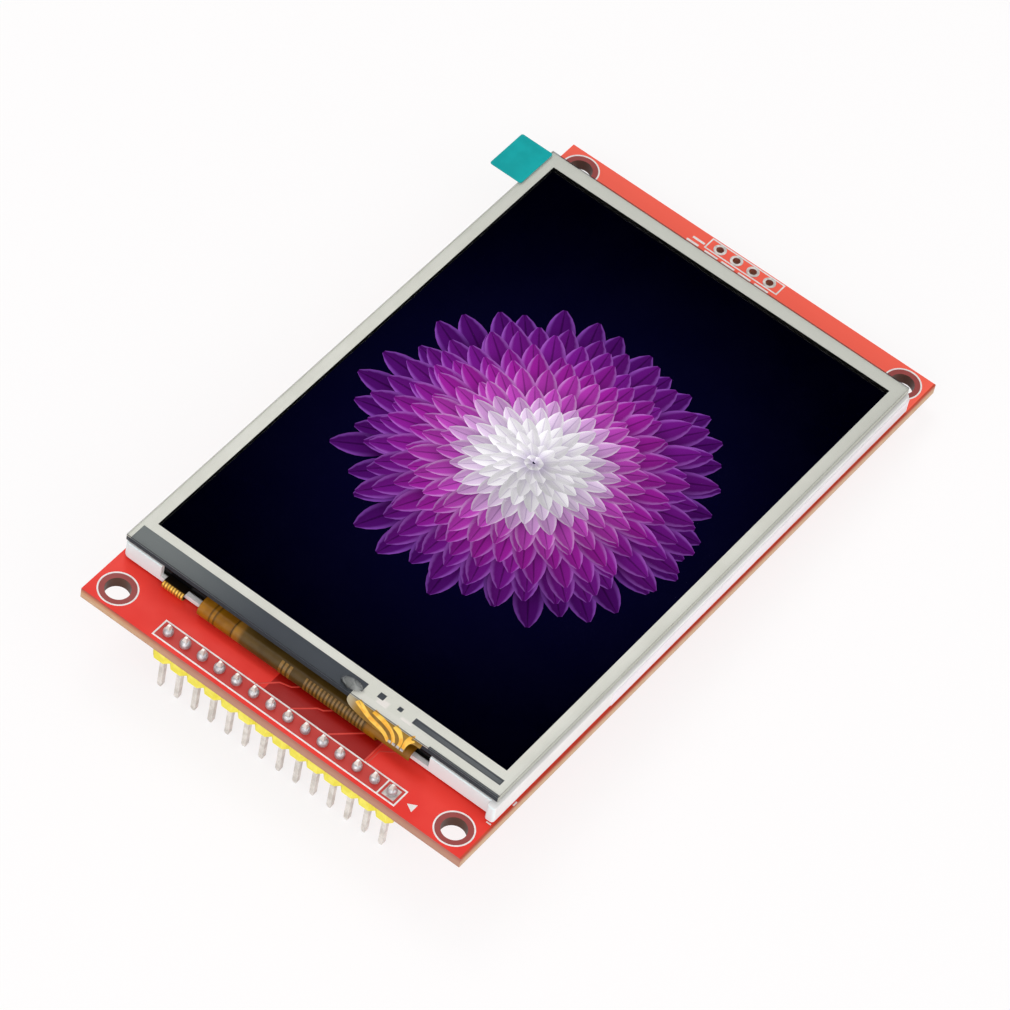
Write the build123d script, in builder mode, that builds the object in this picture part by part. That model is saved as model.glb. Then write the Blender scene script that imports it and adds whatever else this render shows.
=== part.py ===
from build123d import *
from math import cos, radians, sin
import os

# A 3.5 inch display module on a printed circuit board, in millimetres.
# X runs across the board, Y along it away from the pin header, and Z out of the screen.
# The origin is the middle of the four mounting holes, on the rear face of the board.

# Extra depth of every cut
overrun = 1.0

# Circuit board
board_width = 56.0
board_length = 95.8
board_thickness = 1.6
hole_radius = 1.6
hole_inset_x = 3.15
hole_inset_y = 2.85
ink_thickness = 0.03
ink_line = 0.2
hole_ring_radius = 2.5

# Pin header, soldered from the screen side
pin_count = 14
pin_pitch = 2.54
pin_size = 0.64
pin_length = 11.6
pin_below_body = 6.0
pin_tip_length = 0.5
pin_tip_inset = 0.15
header_inset = 1.9
header_height = 2.54
header_depth = 2.48
header_notch = 0.42
pin_hole_radius = 0.5
pad_radius = 0.85
pad_thickness = 0.04
solder_radius = 0.72
solder_height = 0.9
solder_tip_radius = 0.48
solder_sides = 10

# Empty four-way card header at the far end
card_pin_count = 4
card_header_x = -0.4
card_header_inset = 1.15

# Display module on its adhesive tapes
module_side_inset = 0.3
module_setback = 7.0
module_far_inset = 5.7
module_corner = 0.9
tape_thickness = 0.3
tape_width = 4.0
tape_end_gap = 9.0
tape_side_inset = 0.6

# Moulded backlight frame
frame_wall = 0.6
frame_shelf = 0.8
frame_rebate = 0.6
sill_start = 5.7
sill_end = 10.0
sill_height = 0.65
foot_width = 1.25
foot_reach = 0.8
foot_depth = 2.6
foot_corner = 0.4
rim_margin = 0.05
rim_bevel = 0.12

# Sheets inside the backlight
reflector_thickness = 0.1
guide_thickness = 0.7
sheet_thickness = 0.1
rim_tape_thickness = 0.05
rim_tape_width = 1.4
sheet_clearance = 0.1
guide_setback = 1.9
led_count = 6
led_length = 3.0
led_depth = 0.9
led_end_margin = 2.5
led_gap = 0.05
strip_side_gap = 1.8
strip_width = 1.5
strip_thickness = 0.1
strip_tail_start = 6.4
strip_tail_width = 3.1
strip_tail_bend_gap = 0.1
strip_tail_run = 4.4

# Liquid crystal cell
glass_thickness = 0.5
glass_clearance = 0.1
polariser_thickness = 0.15
polariser_inset = 0.7
ledge_width = 2.9
driver_length = 21.0
driver_width = 0.9
driver_thickness = 0.3
driver_setback = 0.35
ledge_tape_thickness = 0.05
ledge_tape_clearance = 0.15

# Main flex, folded round the header end of the module
flex_inset = 12.1
flex_thickness = 0.12
flex_bond = 0.9
flex_bend_gap = 0.05
flex_run = 8.4
flex_tail_margin = 0.4
flex_tail_length = 2.6
flex_ear_width = 4.9
flex_ear_lift = 1.3
flex_joint_count = 18
flex_joint_pitch = 0.8
flex_joint_width = 0.4
flex_joint_length = 1.1
flex_joint_height = 0.16

# Resistive touch panel
panel_inset_side = 0.33
panel_shift = -0.18
panel_inset_end = 0.2
panel_adhesive_thickness = 0.15
panel_adhesive_width = 1.3
touch_glass_thickness = 0.7
spacer_thickness = 0.07
touch_film_thickness = 0.18
window_side_margin = 1.6
window_far_margin = 1.9
window_header_margin = 3.75
clear_strip_border = 0.55
clear_strip_inset = 20.69
clear_strip_width = 2.55
vent_margin = 2.2
first_vent_inset = 18.54
first_vent_size = 0.9
second_vent_inset = 15.84
second_vent_size = 0.65
inner_slot_length = 12.5
inner_slot_inset = 1.09
inner_slot_width = 0.6
inner_slot_margin = 1.7
outer_slot_length = 10.19
outer_slot_width = 0.45

# Touch flex, soldered on the ear of the main flex
touch_flex_lead = 5.0
touch_flex_overhang = 0.7
touch_flex_bond = 1.1
touch_flex_lean = 25
touch_flex_bend = 0.5
touch_flex_lift = 0.2
touch_flex_clearance = 0.01
touch_flex_left_margin = 1.6
touch_flex_right_margin = 0.9
touch_flex_neck = 0.45
touch_flex_cheek = 0.3
touch_flex_waist = 0.8
touch_joint_count = 4
touch_joint_width = 0.4
touch_joint_length = 0.3
touch_joint_height = 0.1

# Protective film and its pull tab
cover_film_thickness = 0.05
cover_film_inset = 0.1
tab_length = 4.85
tab_width = 6.7
tab_overlap = 0.3
tab_thickness = 0.08
tab_far_inset = 0.5
tab_corner = 0.3

# Memory card socket on the rear face
socket_width = 28.0
socket_length = 27.5
socket_height = 2.85
socket_mouth_inset = 7.4
shell_sheet = 0.2
shell_fillet = 0.25
shell_tab_width = 1.6
shell_tab_reach = 0.9
shell_tab_inset = 3.5
shell_notch_width = 15.0
shell_notch_depth = 2.2
shell_notch_corner = 0.8
shell_window_length = 3.2
shell_window_height = 1.1
shell_window_setback = 6.0
shell_spring_width = 2.2
shell_spring_length = 9.0
shell_spring_slit = 0.5
shell_spring_spread = 15.5
base_clearance = 0.05
base_floor = 0.5
base_rail = 1.7
base_back = 3.4
card_count = 9
contact_edge_margin = 2.05
contact_width = 0.8
contact_sheet = 0.15
contact_slot_margin = 0.15
contact_slot_length = 14.0
contact_lift = 1.0
contact_root = 0.35
contact_tip_run = 1.6
contact_foot = 1.1
peg_radius = 0.55
peg_length = 1.1
peg_inset = 3.0
peg_setback = 5.0
peg_clearance = 0.05

# Touch controller, a sixteen-lead small outline package
controller_inset = 14.5
controller_setback = 33.9
controller_length = 5.0
controller_width = 4.4
controller_height = 1.0
controller_span = 6.4
controller_pitch = 0.65
controller_leads = 8
lead_width = 0.24
chip_standoff = 0.1
chip_bevel = 0.2
lead_sheet = 0.13
lead_foot = 0.6
dimple_radius = 0.35
dimple_depth = 0.1
dimple_inset = 1.05

# Three-lead packages: the regulator and the backlight transistor
package_inset = 12.0
package_setback = 10.9
small_length = 2.9
small_width = 1.3
small_height = 1.0
small_span = 2.5
small_pitch = 0.95
small_lead_width = 0.4
small_lead_sheet = 0.15
small_lead_foot = 0.4

# Chip resistors and capacitors
chip_length = 1.6
chip_width = 0.8
resistor_height = 0.45
capacitor_height = 0.8
chip_cap = 0.3
chip_row_pitch = 1.9
resistor_row_count = 4
resistor_row_gap = 8.05
pull_up_row_count = 6
pull_up_row_gap = 5.8
base_row_count = 1
base_row_gap = 4.0
capacitor_row_count = 3
capacitor_row_gap = 6.0
supply_row_count = 2
supply_row_pitch = 4.0
supply_row_gap = 4.4

# Levels of the stack, from the rear face of the board upwards
board_top = board_thickness
module_base = board_top + tape_thickness
guide_base = module_base + reflector_thickness
diffuser_base = guide_base + guide_thickness
lower_prism_base = diffuser_base + sheet_thickness
upper_prism_base = lower_prism_base + sheet_thickness
shelf_top = upper_prism_base + sheet_thickness
rear_polariser_base = shelf_top + rim_tape_thickness
array_glass_base = rear_polariser_base + polariser_thickness
filter_glass_base = array_glass_base + glass_thickness
front_polariser_base = filter_glass_base + glass_thickness
frame_top = front_polariser_base + polariser_thickness + rim_margin
touch_glass_base = frame_top + panel_adhesive_thickness
spacer_base = touch_glass_base + touch_glass_thickness
touch_film_base = spacer_base + spacer_thickness
cover_film_base = touch_film_base + touch_film_thickness
tab_base = cover_film_base + cover_film_thickness

# Places along and across the board
board_side = board_width / 2
board_near = -board_length / 2
board_far = board_length / 2
header_y = board_near + header_inset
card_header_y = board_far - card_header_inset
module_near = board_near + module_setback
module_far = board_far - module_far_inset
module_middle = (module_near + module_far) / 2
module_side = board_side - module_side_inset
pocket_side = module_side - frame_wall
pocket_near = module_near + frame_wall
pocket_far = module_far - frame_wall
bay_side = pocket_side - frame_shelf
bay_far = pocket_far - frame_shelf
sill_left = -module_side + sill_start
sill_right = module_side - sill_end
sill_top = module_base + sill_height
glass_side = pocket_side - glass_clearance
glass_near = pocket_near + glass_clearance
glass_far = pocket_far - glass_clearance
filter_near = glass_near + ledge_width
panel_left = -module_side + panel_inset_side + panel_shift
panel_right = module_side - panel_inset_side + panel_shift
panel_near = module_near + panel_inset_end
panel_far = module_far - panel_inset_end
window_near = panel_near + window_header_margin
window_far = panel_far - window_far_margin
window_left = panel_left + window_side_margin
window_right = panel_right - window_side_margin
socket_mouth = board_far - socket_mouth_inset
socket_back = socket_mouth - socket_length
socket_side = socket_width / 2
controller_x = board_side - controller_inset
controller_y = board_near + controller_setback
package_x = board_side - package_inset
package_y = board_near + package_setback


def block(left, right, near, far, bottom, top, mode=Mode.ADD):
    """Add a box given by its six limits to the part being built."""
    centre = Location(((left + right) / 2, (near + far) / 2, (bottom + top) / 2))
    with Locations(centre):
        Box(right - left, far - near, top - bottom, mode=mode)


def save(builder, name):
    """Label a finished piece and write it to its own file."""
    builder.part.label = name
    export_step(builder.part, f"parts/{name}.step")


os.makedirs("parts", exist_ok=True)

hole_spacing_x = board_width - 2 * hole_inset_x
hole_spacing_y = board_length - 2 * hole_inset_y
peg_y = socket_back + peg_setback
peg_spread = 2 * (socket_side - peg_inset)

# Board: a plain sheet with its mounting holes, header holes and the card socket's peg holes
with BuildPart() as board:
    with BuildSketch():
        Rectangle(board_width, board_length)
        with GridLocations(hole_spacing_x, hole_spacing_y, 2, 2):
            Circle(hole_radius, mode=Mode.SUBTRACT)
        with Locations((0, header_y)):
            with GridLocations(pin_pitch, pin_pitch, pin_count, 1):
                Circle(pin_hole_radius, mode=Mode.SUBTRACT)
        with Locations((card_header_x, card_header_y)):
            with GridLocations(pin_pitch, pin_pitch, card_pin_count, 1):
                Circle(pin_hole_radius, mode=Mode.SUBTRACT)
        with Locations((0, peg_y)):
            with GridLocations(peg_spread, peg_spread, 2, 1):
                Circle(peg_radius + peg_clearance, mode=Mode.SUBTRACT)
    extrude(amount=board_thickness)
save(board, "circuit_board")

# White ink: rings round the mounting holes and a box round the pin header
header_box_length = pin_count * pin_pitch
first_pin_divider = header_box_length / 2 - pin_pitch
with BuildPart() as ink:
    with BuildSketch(Plane.XY.offset(board_top)):
        with GridLocations(hole_spacing_x, hole_spacing_y, 2, 2):
            Circle(hole_ring_radius)
            Circle(hole_ring_radius - ink_line, mode=Mode.SUBTRACT)
        with Locations((0, header_y)):
            Rectangle(header_box_length + ink_line, pin_pitch + ink_line)
            Rectangle(header_box_length - ink_line, pin_pitch - ink_line, mode=Mode.SUBTRACT)
        with Locations((first_pin_divider, header_y)):
            Rectangle(ink_line, pin_pitch)
    extrude(amount=ink_thickness)
save(ink, "white_ink")

# Square tinned pad that marks the first pin
first_pin_x = header_box_length / 2 - pin_pitch / 2
with BuildPart() as first_pad:
    with BuildSketch(Plane.XY.offset(board_top)):
        with Locations((first_pin_x, header_y)):
            Rectangle(2 * pad_radius, 2 * pad_radius)
            Circle(pin_hole_radius, mode=Mode.SUBTRACT)
    extrude(amount=pad_thickness)
save(first_pad, "first_pin_pad")

# Plated pads of the empty card header, on both faces
with BuildPart() as card_pads:
    for face_level in (-pad_thickness, board_top):
        with BuildSketch(Plane.XY.offset(face_level)):
            with Locations((card_header_x, card_header_y)):
                with GridLocations(pin_pitch, pin_pitch, card_pin_count, 1):
                    Circle(pad_radius)
                    Circle(pin_hole_radius, mode=Mode.SUBTRACT)
        extrude(amount=pad_thickness)
save(card_pads, "card_header_pads")

# Header body: a bar with a notch between each two segments
with BuildPart() as header_body:
    with BuildSketch(Plane.XY.offset(-header_height)):
        with Locations((0, header_y)):
            Rectangle(header_box_length, header_depth)
            for side in (-1, 1):
                with Locations((0, side * header_depth / 2)):
                    with GridLocations(pin_pitch, pin_pitch, pin_count + 1, 1):
                        Rectangle(2 * header_notch, 2 * header_notch, rotation=45, mode=Mode.SUBTRACT)
            with GridLocations(pin_pitch, pin_pitch, pin_count, 1):
                Rectangle(pin_size, pin_size, mode=Mode.SUBTRACT)
    extrude(amount=header_height)
save(header_body, "header_body")

# Header pins: square wire with a point pressed on both ends
pin_bottom = -header_height - pin_below_body
pin_top = pin_bottom + pin_length
with BuildPart() as header_pins:
    with BuildSketch(Plane.XY.offset(pin_bottom)):
        with Locations((0, header_y)):
            with GridLocations(pin_pitch, pin_pitch, pin_count, 1):
                Rectangle(pin_size, pin_size)
    extrude(amount=pin_length)
    tips = header_pins.edges().filter_by(GeomType.LINE).filter_by(Axis.Z, reverse=True)
    chamfer(tips, length=pin_tip_length, length2=pin_tip_inset)
save(header_pins, "header_pins")

# Solder: each joint is a cone that climbs its pin, and the first one stands on the square pad
with BuildPart() as header_solder:
    for pin_index in range(pin_count):
        pin_x = first_pin_x - pin_index * pin_pitch
        joint_base = board_top if pin_index else board_top + pad_thickness
        for level, radius in ((joint_base, solder_radius), (joint_base + solder_height, solder_tip_radius)):
            with BuildSketch(Plane.XY.offset(level)):
                with Locations((pin_x, header_y)):
                    RegularPolygon(radius, solder_sides)
        loft()
    with Locations((0, header_y, board_top)):
        with GridLocations(pin_pitch, pin_pitch, pin_count, 1):
            Box(pin_size, pin_size, 2 * pin_length, mode=Mode.SUBTRACT)
save(header_solder, "header_solder")

# Adhesive tapes: one along each side of the module and one across its far end
tape_outer = module_side - tape_side_inset
tape_inner = tape_outer - tape_width
tape_far = module_far - tape_side_inset
tape_near = module_near + tape_end_gap
with BuildPart() as tapes:
    for side in (-1, 1):
        edges = sorted((side * tape_inner, side * tape_outer))
        block(*edges, tape_near, tape_far, board_top, module_base)
    cross_side = tape_inner - tape_side_inset
    block(-cross_side, cross_side, tape_far - tape_width, tape_far, board_top, module_base)
save(tapes, "mounting_tapes")

# Backlight frame: a stepped moulded ring, cut down to a sill where the flexes leave it
with BuildPart() as frame:
    with BuildSketch(Plane.XY.offset(module_base)):
        with Locations((0, module_middle)):
            RectangleRounded(2 * module_side, module_far - module_near, module_corner)
        with Locations((module_side - foot_width / 2, module_near - foot_reach + foot_depth / 2)):
            RectangleRounded(foot_width, foot_depth, foot_corner)
    extrude(amount=frame_top - module_base)
    chamfer(frame.faces().sort_by(Axis.Z)[-1].edges(), rim_bevel)
    block(-pocket_side, pocket_side, pocket_near, pocket_far, shelf_top, frame_top, Mode.SUBTRACT)
    block(-bay_side, bay_side, pocket_near, bay_far, guide_base, shelf_top, Mode.SUBTRACT)
    rebate_side = bay_side + frame_rebate
    rebate_far = bay_far + frame_rebate
    block(-rebate_side, rebate_side, pocket_near, rebate_far, module_base, guide_base, Mode.SUBTRACT)
    block(sill_left, sill_right, module_near - overrun, pocket_near, sill_top, frame_top, Mode.SUBTRACT)
save(frame, "backlight_frame")

# Reflector, light guide and the three loose sheets over it
sheet_side = bay_side - sheet_clearance
sheet_near = pocket_near + guide_setback
sheet_far = bay_far - sheet_clearance
with BuildPart() as reflector:
    reflector_side = rebate_side - sheet_clearance
    reflector_near = pocket_near + sheet_clearance
    reflector_far = rebate_far - sheet_clearance
    block(-reflector_side, reflector_side, reflector_near, reflector_far, module_base, guide_base)
save(reflector, "reflector_sheet")

sheet_stack = (
    ("light_guide", guide_base, diffuser_base),
    ("diffuser_sheet", diffuser_base, lower_prism_base),
    ("lower_prism_sheet", lower_prism_base, upper_prism_base),
    ("upper_prism_sheet", upper_prism_base, shelf_top),
)
for sheet_name, sheet_bottom, sheet_top in sheet_stack:
    with BuildPart() as sheet:
        block(-sheet_side, sheet_side, sheet_near, sheet_far, sheet_bottom, sheet_top)
    save(sheet, sheet_name)

# Lamps facing the near edge of the light guide, hung under their flexible strip
strip_near = pocket_near + sheet_clearance
half_strip = bay_side - strip_side_gap
led_span = 2 * (half_strip - led_end_margin)
with BuildPart() as lamps:
    with Locations((0, sheet_near - led_gap - led_depth / 2, (guide_base + sill_top) / 2)):
        with GridLocations(led_span / (led_count - 1), led_depth, led_count, 1):
            Box(led_length, led_depth, sill_top - guide_base)
save(lamps, "backlight_lamps")


def folded_flex(left, right, inner_end, upper_base, fold, lower_end, thickness):
    """Add a flex that leaves the module on one level and folds back under it on the board."""
    upper_face = upper_base + thickness
    radius = (upper_face - board_top) / 2
    with BuildSketch(Plane.YZ.offset(left)) as profile:
        with BuildLine():
            Line((inner_end, upper_face), (fold, upper_face))
            CenterArc((fold, board_top + radius), radius, 90, 180)
            Line((fold, board_top), (lower_end, board_top))
            offset(amount=thickness, side=Side.LEFT)
        make_face()
    extrude(profile.sketch, amount=right - left)


# Lamp strip with its narrow tail folded over the sill
strip_fold = module_near - strip_tail_bend_gap
strip_left = -module_side + strip_tail_start
with BuildPart() as lamp_strip:
    folded_flex(
        strip_left, strip_left + strip_tail_width, strip_near, sill_top,
        strip_fold, module_near + strip_tail_run, strip_thickness,
    )
    block(
        -half_strip, half_strip, strip_near, strip_near + strip_width,
        sill_top, sill_top + strip_thickness,
    )
save(lamp_strip, "lamp_strip_flex")

# Black tape between the backlight and the glass
with BuildPart() as rim_tape:
    rim_outer = pocket_side - sheet_clearance
    rim_inner = pocket_side - rim_tape_width
    block(
        -rim_outer, rim_outer, pocket_near + sheet_clearance, pocket_far - sheet_clearance,
        shelf_top, rear_polariser_base,
    )
    block(
        -rim_inner, rim_inner, filter_near + rim_tape_width, pocket_far - rim_tape_width,
        shelf_top, rear_polariser_base, Mode.SUBTRACT,
    )
save(rim_tape, "rim_tape")

# Liquid crystal cell: two glasses between two polarisers, the lower one longer by the ledge
polariser_side = glass_side - polariser_inset
cell_layers = (
    ("rear_polariser", polariser_side, filter_near + polariser_inset, glass_far - polariser_inset,
     rear_polariser_base, polariser_thickness),
    ("array_glass", glass_side, glass_near, glass_far, array_glass_base, glass_thickness),
    ("colour_filter_glass", glass_side, filter_near, glass_far, filter_glass_base, glass_thickness),
    ("front_polariser", polariser_side, filter_near + polariser_inset, glass_far - polariser_inset,
     front_polariser_base, polariser_thickness),
)
for layer_name, side, near, far, base, thickness in cell_layers:
    with BuildPart() as layer:
        block(-side, side, near, far, base, base + thickness)
    save(layer, layer_name)

# Driver chip on the ledge of the lower glass, and the black tape over it
driver_near = glass_near + flex_bond + driver_setback
driver_top = filter_glass_base + driver_thickness
with BuildPart() as driver:
    block(
        -driver_length / 2, driver_length / 2, driver_near, driver_near + driver_width,
        filter_glass_base, driver_top,
    )
save(driver, "display_driver_chip")

with BuildPart() as ledge_tape:
    tape_side = glass_side - ledge_tape_clearance
    block(
        -tape_side, tape_side, glass_near, filter_near - ledge_tape_clearance,
        driver_top, driver_top + ledge_tape_thickness,
    )
save(ledge_tape, "ledge_tape")

# Main flex: bonded on the ledge and folded round the sill, with an ear that ends on the bend
flex_side = module_side - flex_inset
flex_fold = module_near - flex_bend_gap
flex_end = module_near + flex_run
flex_bend_radius = (filter_glass_base - board_top) / 2
flex_outer_face = flex_fold - flex_bend_radius - flex_thickness / 2
ear_left = flex_side - flex_ear_width
tail_start = flex_end - flex_tail_length
tail_side = flex_joint_count * flex_joint_pitch / 2 + flex_tail_margin
with BuildPart() as main_flex:
    folded_flex(
        -flex_side, flex_side, glass_near + flex_bond, filter_glass_base,
        flex_fold, flex_end, flex_thickness,
    )
    flex_lower_top = board_top + flex_thickness
    block(
        ear_left, flex_side, flex_outer_face - overrun, flex_end,
        board_top, board_top + flex_ear_lift, Mode.SUBTRACT,
    )
    for left, right in ((-flex_side, -tail_side), (tail_side, ear_left)):
        block(left, right, tail_start, flex_end, board_top, flex_lower_top, Mode.SUBTRACT)
save(main_flex, "main_flex")

# Solder joints of both tails on the board, under the module
with BuildPart() as flex_solder:
    with Locations((0, flex_end + flex_joint_length / 2, board_top + flex_joint_height / 2)):
        with GridLocations(flex_joint_pitch, flex_joint_pitch, flex_joint_count, 1):
            Box(flex_joint_width, flex_joint_length, flex_joint_height)
    strip_middle = strip_left + strip_tail_width / 2
    strip_end = module_near + strip_tail_run
    with Locations((strip_middle, strip_end + flex_joint_length / 2, board_top + flex_joint_height / 2)):
        with GridLocations(2 * flex_joint_pitch, flex_joint_pitch, 2, 1):
            Box(flex_joint_width, flex_joint_length, flex_joint_height)
save(flex_solder, "flex_solder_joints")

# Touch panel: an adhesive ring, the glass, the printed spacer with its clear windows, and the film
band_near = panel_near + clear_strip_width
ring_far = window_far + panel_adhesive_width
ring_left = window_left - panel_adhesive_width
ring_right = window_right + panel_adhesive_width
with BuildPart() as panel_adhesive:
    block(ring_left, ring_right, band_near, ring_far, frame_top, touch_glass_base)
    block(window_left, window_right, window_near, window_far, frame_top, touch_glass_base, Mode.SUBTRACT)
save(panel_adhesive, "panel_adhesive")

with BuildPart() as touch_glass:
    block(panel_left, panel_right, panel_near, panel_far, touch_glass_base, spacer_base)
save(touch_glass, "touch_glass")

clear_strip_end = panel_right - clear_strip_inset
inner_slot_end = panel_right - inner_slot_inset
inner_slot_start = inner_slot_end - inner_slot_length
inner_slot_near = panel_near + inner_slot_margin
touch_flex_start = ear_left - touch_flex_lead
touch_flex_end = flex_side + touch_flex_overhang
with BuildPart() as spacer:
    block(panel_left, panel_right, panel_near, panel_far, spacer_base, touch_film_base)
    for left, right, near, far in (
        (window_left, window_right, window_near, window_far),
        (panel_left + clear_strip_border, clear_strip_end, panel_near, band_near),
        (inner_slot_start, inner_slot_end, inner_slot_near, inner_slot_near + inner_slot_width),
        (panel_right - outer_slot_length, panel_right, panel_near, panel_near + outer_slot_width),
        (touch_flex_start, touch_flex_end, panel_near, panel_near + touch_flex_bond),
    ):
        block(left, right, near, far, spacer_base, touch_film_base, Mode.SUBTRACT)
    for vent_inset, vent_size in (
        (first_vent_inset, first_vent_size),
        (second_vent_inset, second_vent_size),
    ):
        with Locations((panel_right - vent_inset, panel_near + vent_margin, touch_film_base)):
            Box(vent_size, vent_size, 2 * spacer_thickness, mode=Mode.SUBTRACT)
save(spacer, "touch_spacer")

with BuildPart() as touch_film:
    block(panel_left, panel_right, panel_near, panel_far, touch_film_base, cover_film_base)
save(touch_film, "touch_film")

# Touch flex: held between glass and film, it leans down until it meets the ear of the main flex,
# and narrows on the way from its bond to the ear
bend_radius = flex_bend_radius + flex_thickness / 2
lean = radians(touch_flex_lean)
lean_radius = bend_radius + touch_flex_clearance + spacer_thickness
end_y = flex_fold - lean_radius * cos(lean) + touch_flex_lift * sin(lean)
end_z = board_top + bend_radius + lean_radius * sin(lean) + touch_flex_lift * cos(lean)
knee_y = end_y + (touch_film_base - end_z) * sin(lean) / cos(lean)
ear_start = ear_left + touch_flex_left_margin
ear_end = flex_side - touch_flex_right_margin
neck_z = end_z + touch_flex_neck
cheek_z = touch_film_base - touch_flex_cheek
waist_z = touch_film_base - touch_flex_waist
with BuildPart() as touch_flex:
    with BuildSketch(Plane.YZ.offset(touch_flex_start)):
        with BuildLine():
            FilletPolyline(
                (panel_near + touch_flex_bond, touch_film_base), (knee_y, touch_film_base), (end_y, end_z),
                radius=touch_flex_bend,
            )
            offset(amount=spacer_thickness, side=Side.LEFT)
        make_face()
    extrude(amount=touch_flex_end - touch_flex_start)
    with BuildSketch(Plane.XZ.offset(-panel_near - touch_flex_bond)):
        with BuildLine():
            Bezier((touch_flex_start, cheek_z), (touch_flex_start, neck_z), (ear_start, neck_z))
            Polyline((ear_start, neck_z), (ear_start, board_top), (ear_end, board_top), (ear_end, waist_z))
            Bezier((ear_end, waist_z), (ear_end, cheek_z), (touch_flex_end, cheek_z))
            Polyline(
                (touch_flex_end, cheek_z), (touch_flex_end, tab_base), (touch_flex_start, tab_base),
                (touch_flex_start, cheek_z),
            )
        make_face()
    extrude(amount=2 * module_setback, mode=Mode.INTERSECT)
save(touch_flex, "touch_flex")

# Four solder joints across the end of the touch flex, lying on its outer face
with BuildPart() as touch_solder:
    joint_pitch = (ear_end - ear_start) / touch_joint_count
    end_face = Plane(
        origin=((ear_start + ear_end) / 2, end_y, end_z), x_dir=(1, 0, 0), z_dir=(0, -cos(lean), sin(lean)),
    )
    with BuildSketch(end_face):
        with Locations((0, touch_joint_length)):
            with GridLocations(joint_pitch, joint_pitch, touch_joint_count, 1):
                Rectangle(touch_joint_width, touch_joint_length)
    extrude(amount=touch_joint_height)
save(touch_solder, "touch_flex_solder")

# Protective film over the touch panel, with its pull tab
with BuildPart() as cover_film:
    cover_left = panel_left + cover_film_inset
    block(
        cover_left, panel_right - cover_film_inset, panel_near + cover_film_inset,
        panel_far - cover_film_inset, cover_film_base, tab_base,
    )
save(cover_film, "protective_film")

with BuildPart() as pull_tab:
    tab_right = cover_left + tab_overlap
    tab_far = panel_far - tab_far_inset
    with BuildSketch(Plane.XY.offset(tab_base)):
        with Locations((tab_right - tab_length / 2, tab_far - tab_width / 2)):
            RectangleRounded(tab_length, tab_width, tab_corner)
    extrude(amount=tab_thickness)
save(pull_tab, "pull_tab")

# Card socket shell: a folded steel tray with a mouth notch, two pressing springs and solder feet
shell_inner = socket_side - shell_sheet
plate_inner = -socket_height + shell_sheet
socket_middle = (socket_mouth + socket_back) / 2
with BuildPart() as shell:
    block(-socket_side, socket_side, socket_back, socket_mouth, -socket_height, 0)
    fillet(shell.edges().filter_by(Axis.Y).group_by(Axis.Z)[0], shell_fillet)
    block(
        -shell_inner, shell_inner, socket_back - overrun, socket_mouth + overrun,
        plate_inner, overrun, Mode.SUBTRACT,
    )
    with BuildSketch(Plane.XY.offset(-socket_height - overrun)):
        with Locations((0, socket_mouth)):
            RectangleRounded(shell_notch_width, 2 * shell_notch_depth, shell_notch_corner)
        for side in (-1, 1):
            with Locations((side * shell_spring_spread / 2, socket_middle)):
                Rectangle(shell_spring_width + 2 * shell_spring_slit, shell_spring_length)
                with Locations((0, shell_spring_slit)):
                    Rectangle(shell_spring_width, shell_spring_length, mode=Mode.SUBTRACT)
    extrude(amount=shell_sheet + overrun, mode=Mode.SUBTRACT)
    with Locations((0, socket_mouth - shell_window_setback, plate_inner / 2)):
        Box(socket_width + overrun, shell_window_length, shell_window_height, mode=Mode.SUBTRACT)
    foot_spread = socket_length - 2 * shell_tab_inset
    with Locations((0, socket_middle, -shell_sheet / 2)):
        with GridLocations(socket_width + shell_tab_reach, foot_spread, 2, 2):
            Box(shell_tab_reach, shell_tab_width, shell_sheet)
save(shell, "card_socket_shell")

# Card socket base: a floor with contact slots, side rails, a back block and two pegs
base_side = shell_inner - base_clearance
base_bottom = plate_inner + base_clearance
rail_inner = base_side - base_rail
block_front = socket_back + base_back
slot_side = contact_width / 2 + contact_slot_margin
card_pitch = 2 * (rail_inner - contact_edge_margin) / (card_count - 1)
with BuildPart() as base:
    block(-base_side, base_side, socket_back, socket_mouth, -base_floor, 0)
    block(-base_side, base_side, socket_back, block_front, base_bottom, 0)
    block(-base_side, -rail_inner, socket_back, socket_mouth, base_bottom, 0)
    block(rail_inner, base_side, socket_back, socket_mouth, base_bottom, 0)
    with BuildSketch(Plane.XY.offset(-base_floor)):
        with Locations((0, block_front + contact_slot_length / 2)):
            with GridLocations(card_pitch, card_pitch, card_count, 1):
                Rectangle(2 * slot_side, contact_slot_length)
    extrude(amount=base_floor, mode=Mode.SUBTRACT)
    channel_depth = contact_sheet + base_clearance
    with Locations((0, (socket_back + block_front) / 2, -channel_depth / 2)):
        with GridLocations(card_pitch, card_pitch, card_count, 1):
            Box(2 * slot_side, base_back, channel_depth, mode=Mode.SUBTRACT)
    with BuildSketch():
        with Locations((0, peg_y)):
            with GridLocations(peg_spread, peg_spread, 2, 1):
                Circle(peg_radius)
    extrude(amount=peg_length)
save(base, "card_socket_base")

# Card contacts: nine sprung strips, each with a foot on the board and a raised tip
contact_end = block_front + contact_slot_length - contact_tip_run
with BuildPart() as contacts:
    tip_start = contact_end - contact_tip_run
    for index in range(card_count):
        contact_x = (index - (card_count - 1) / 2) * card_pitch
        with BuildSketch(Plane.YZ.offset(contact_x - contact_width / 2)):
            with BuildLine():
                FilletPolyline(
                    (socket_back - contact_foot, 0), (block_front, 0),
                    (tip_start, contact_sheet - contact_lift), (contact_end, -contact_root),
                    radius=contact_root,
                )
                offset(amount=contact_sheet, side=Side.RIGHT)
            make_face()
        extrude(amount=contact_width)
save(contacts, "card_contacts")


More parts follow.
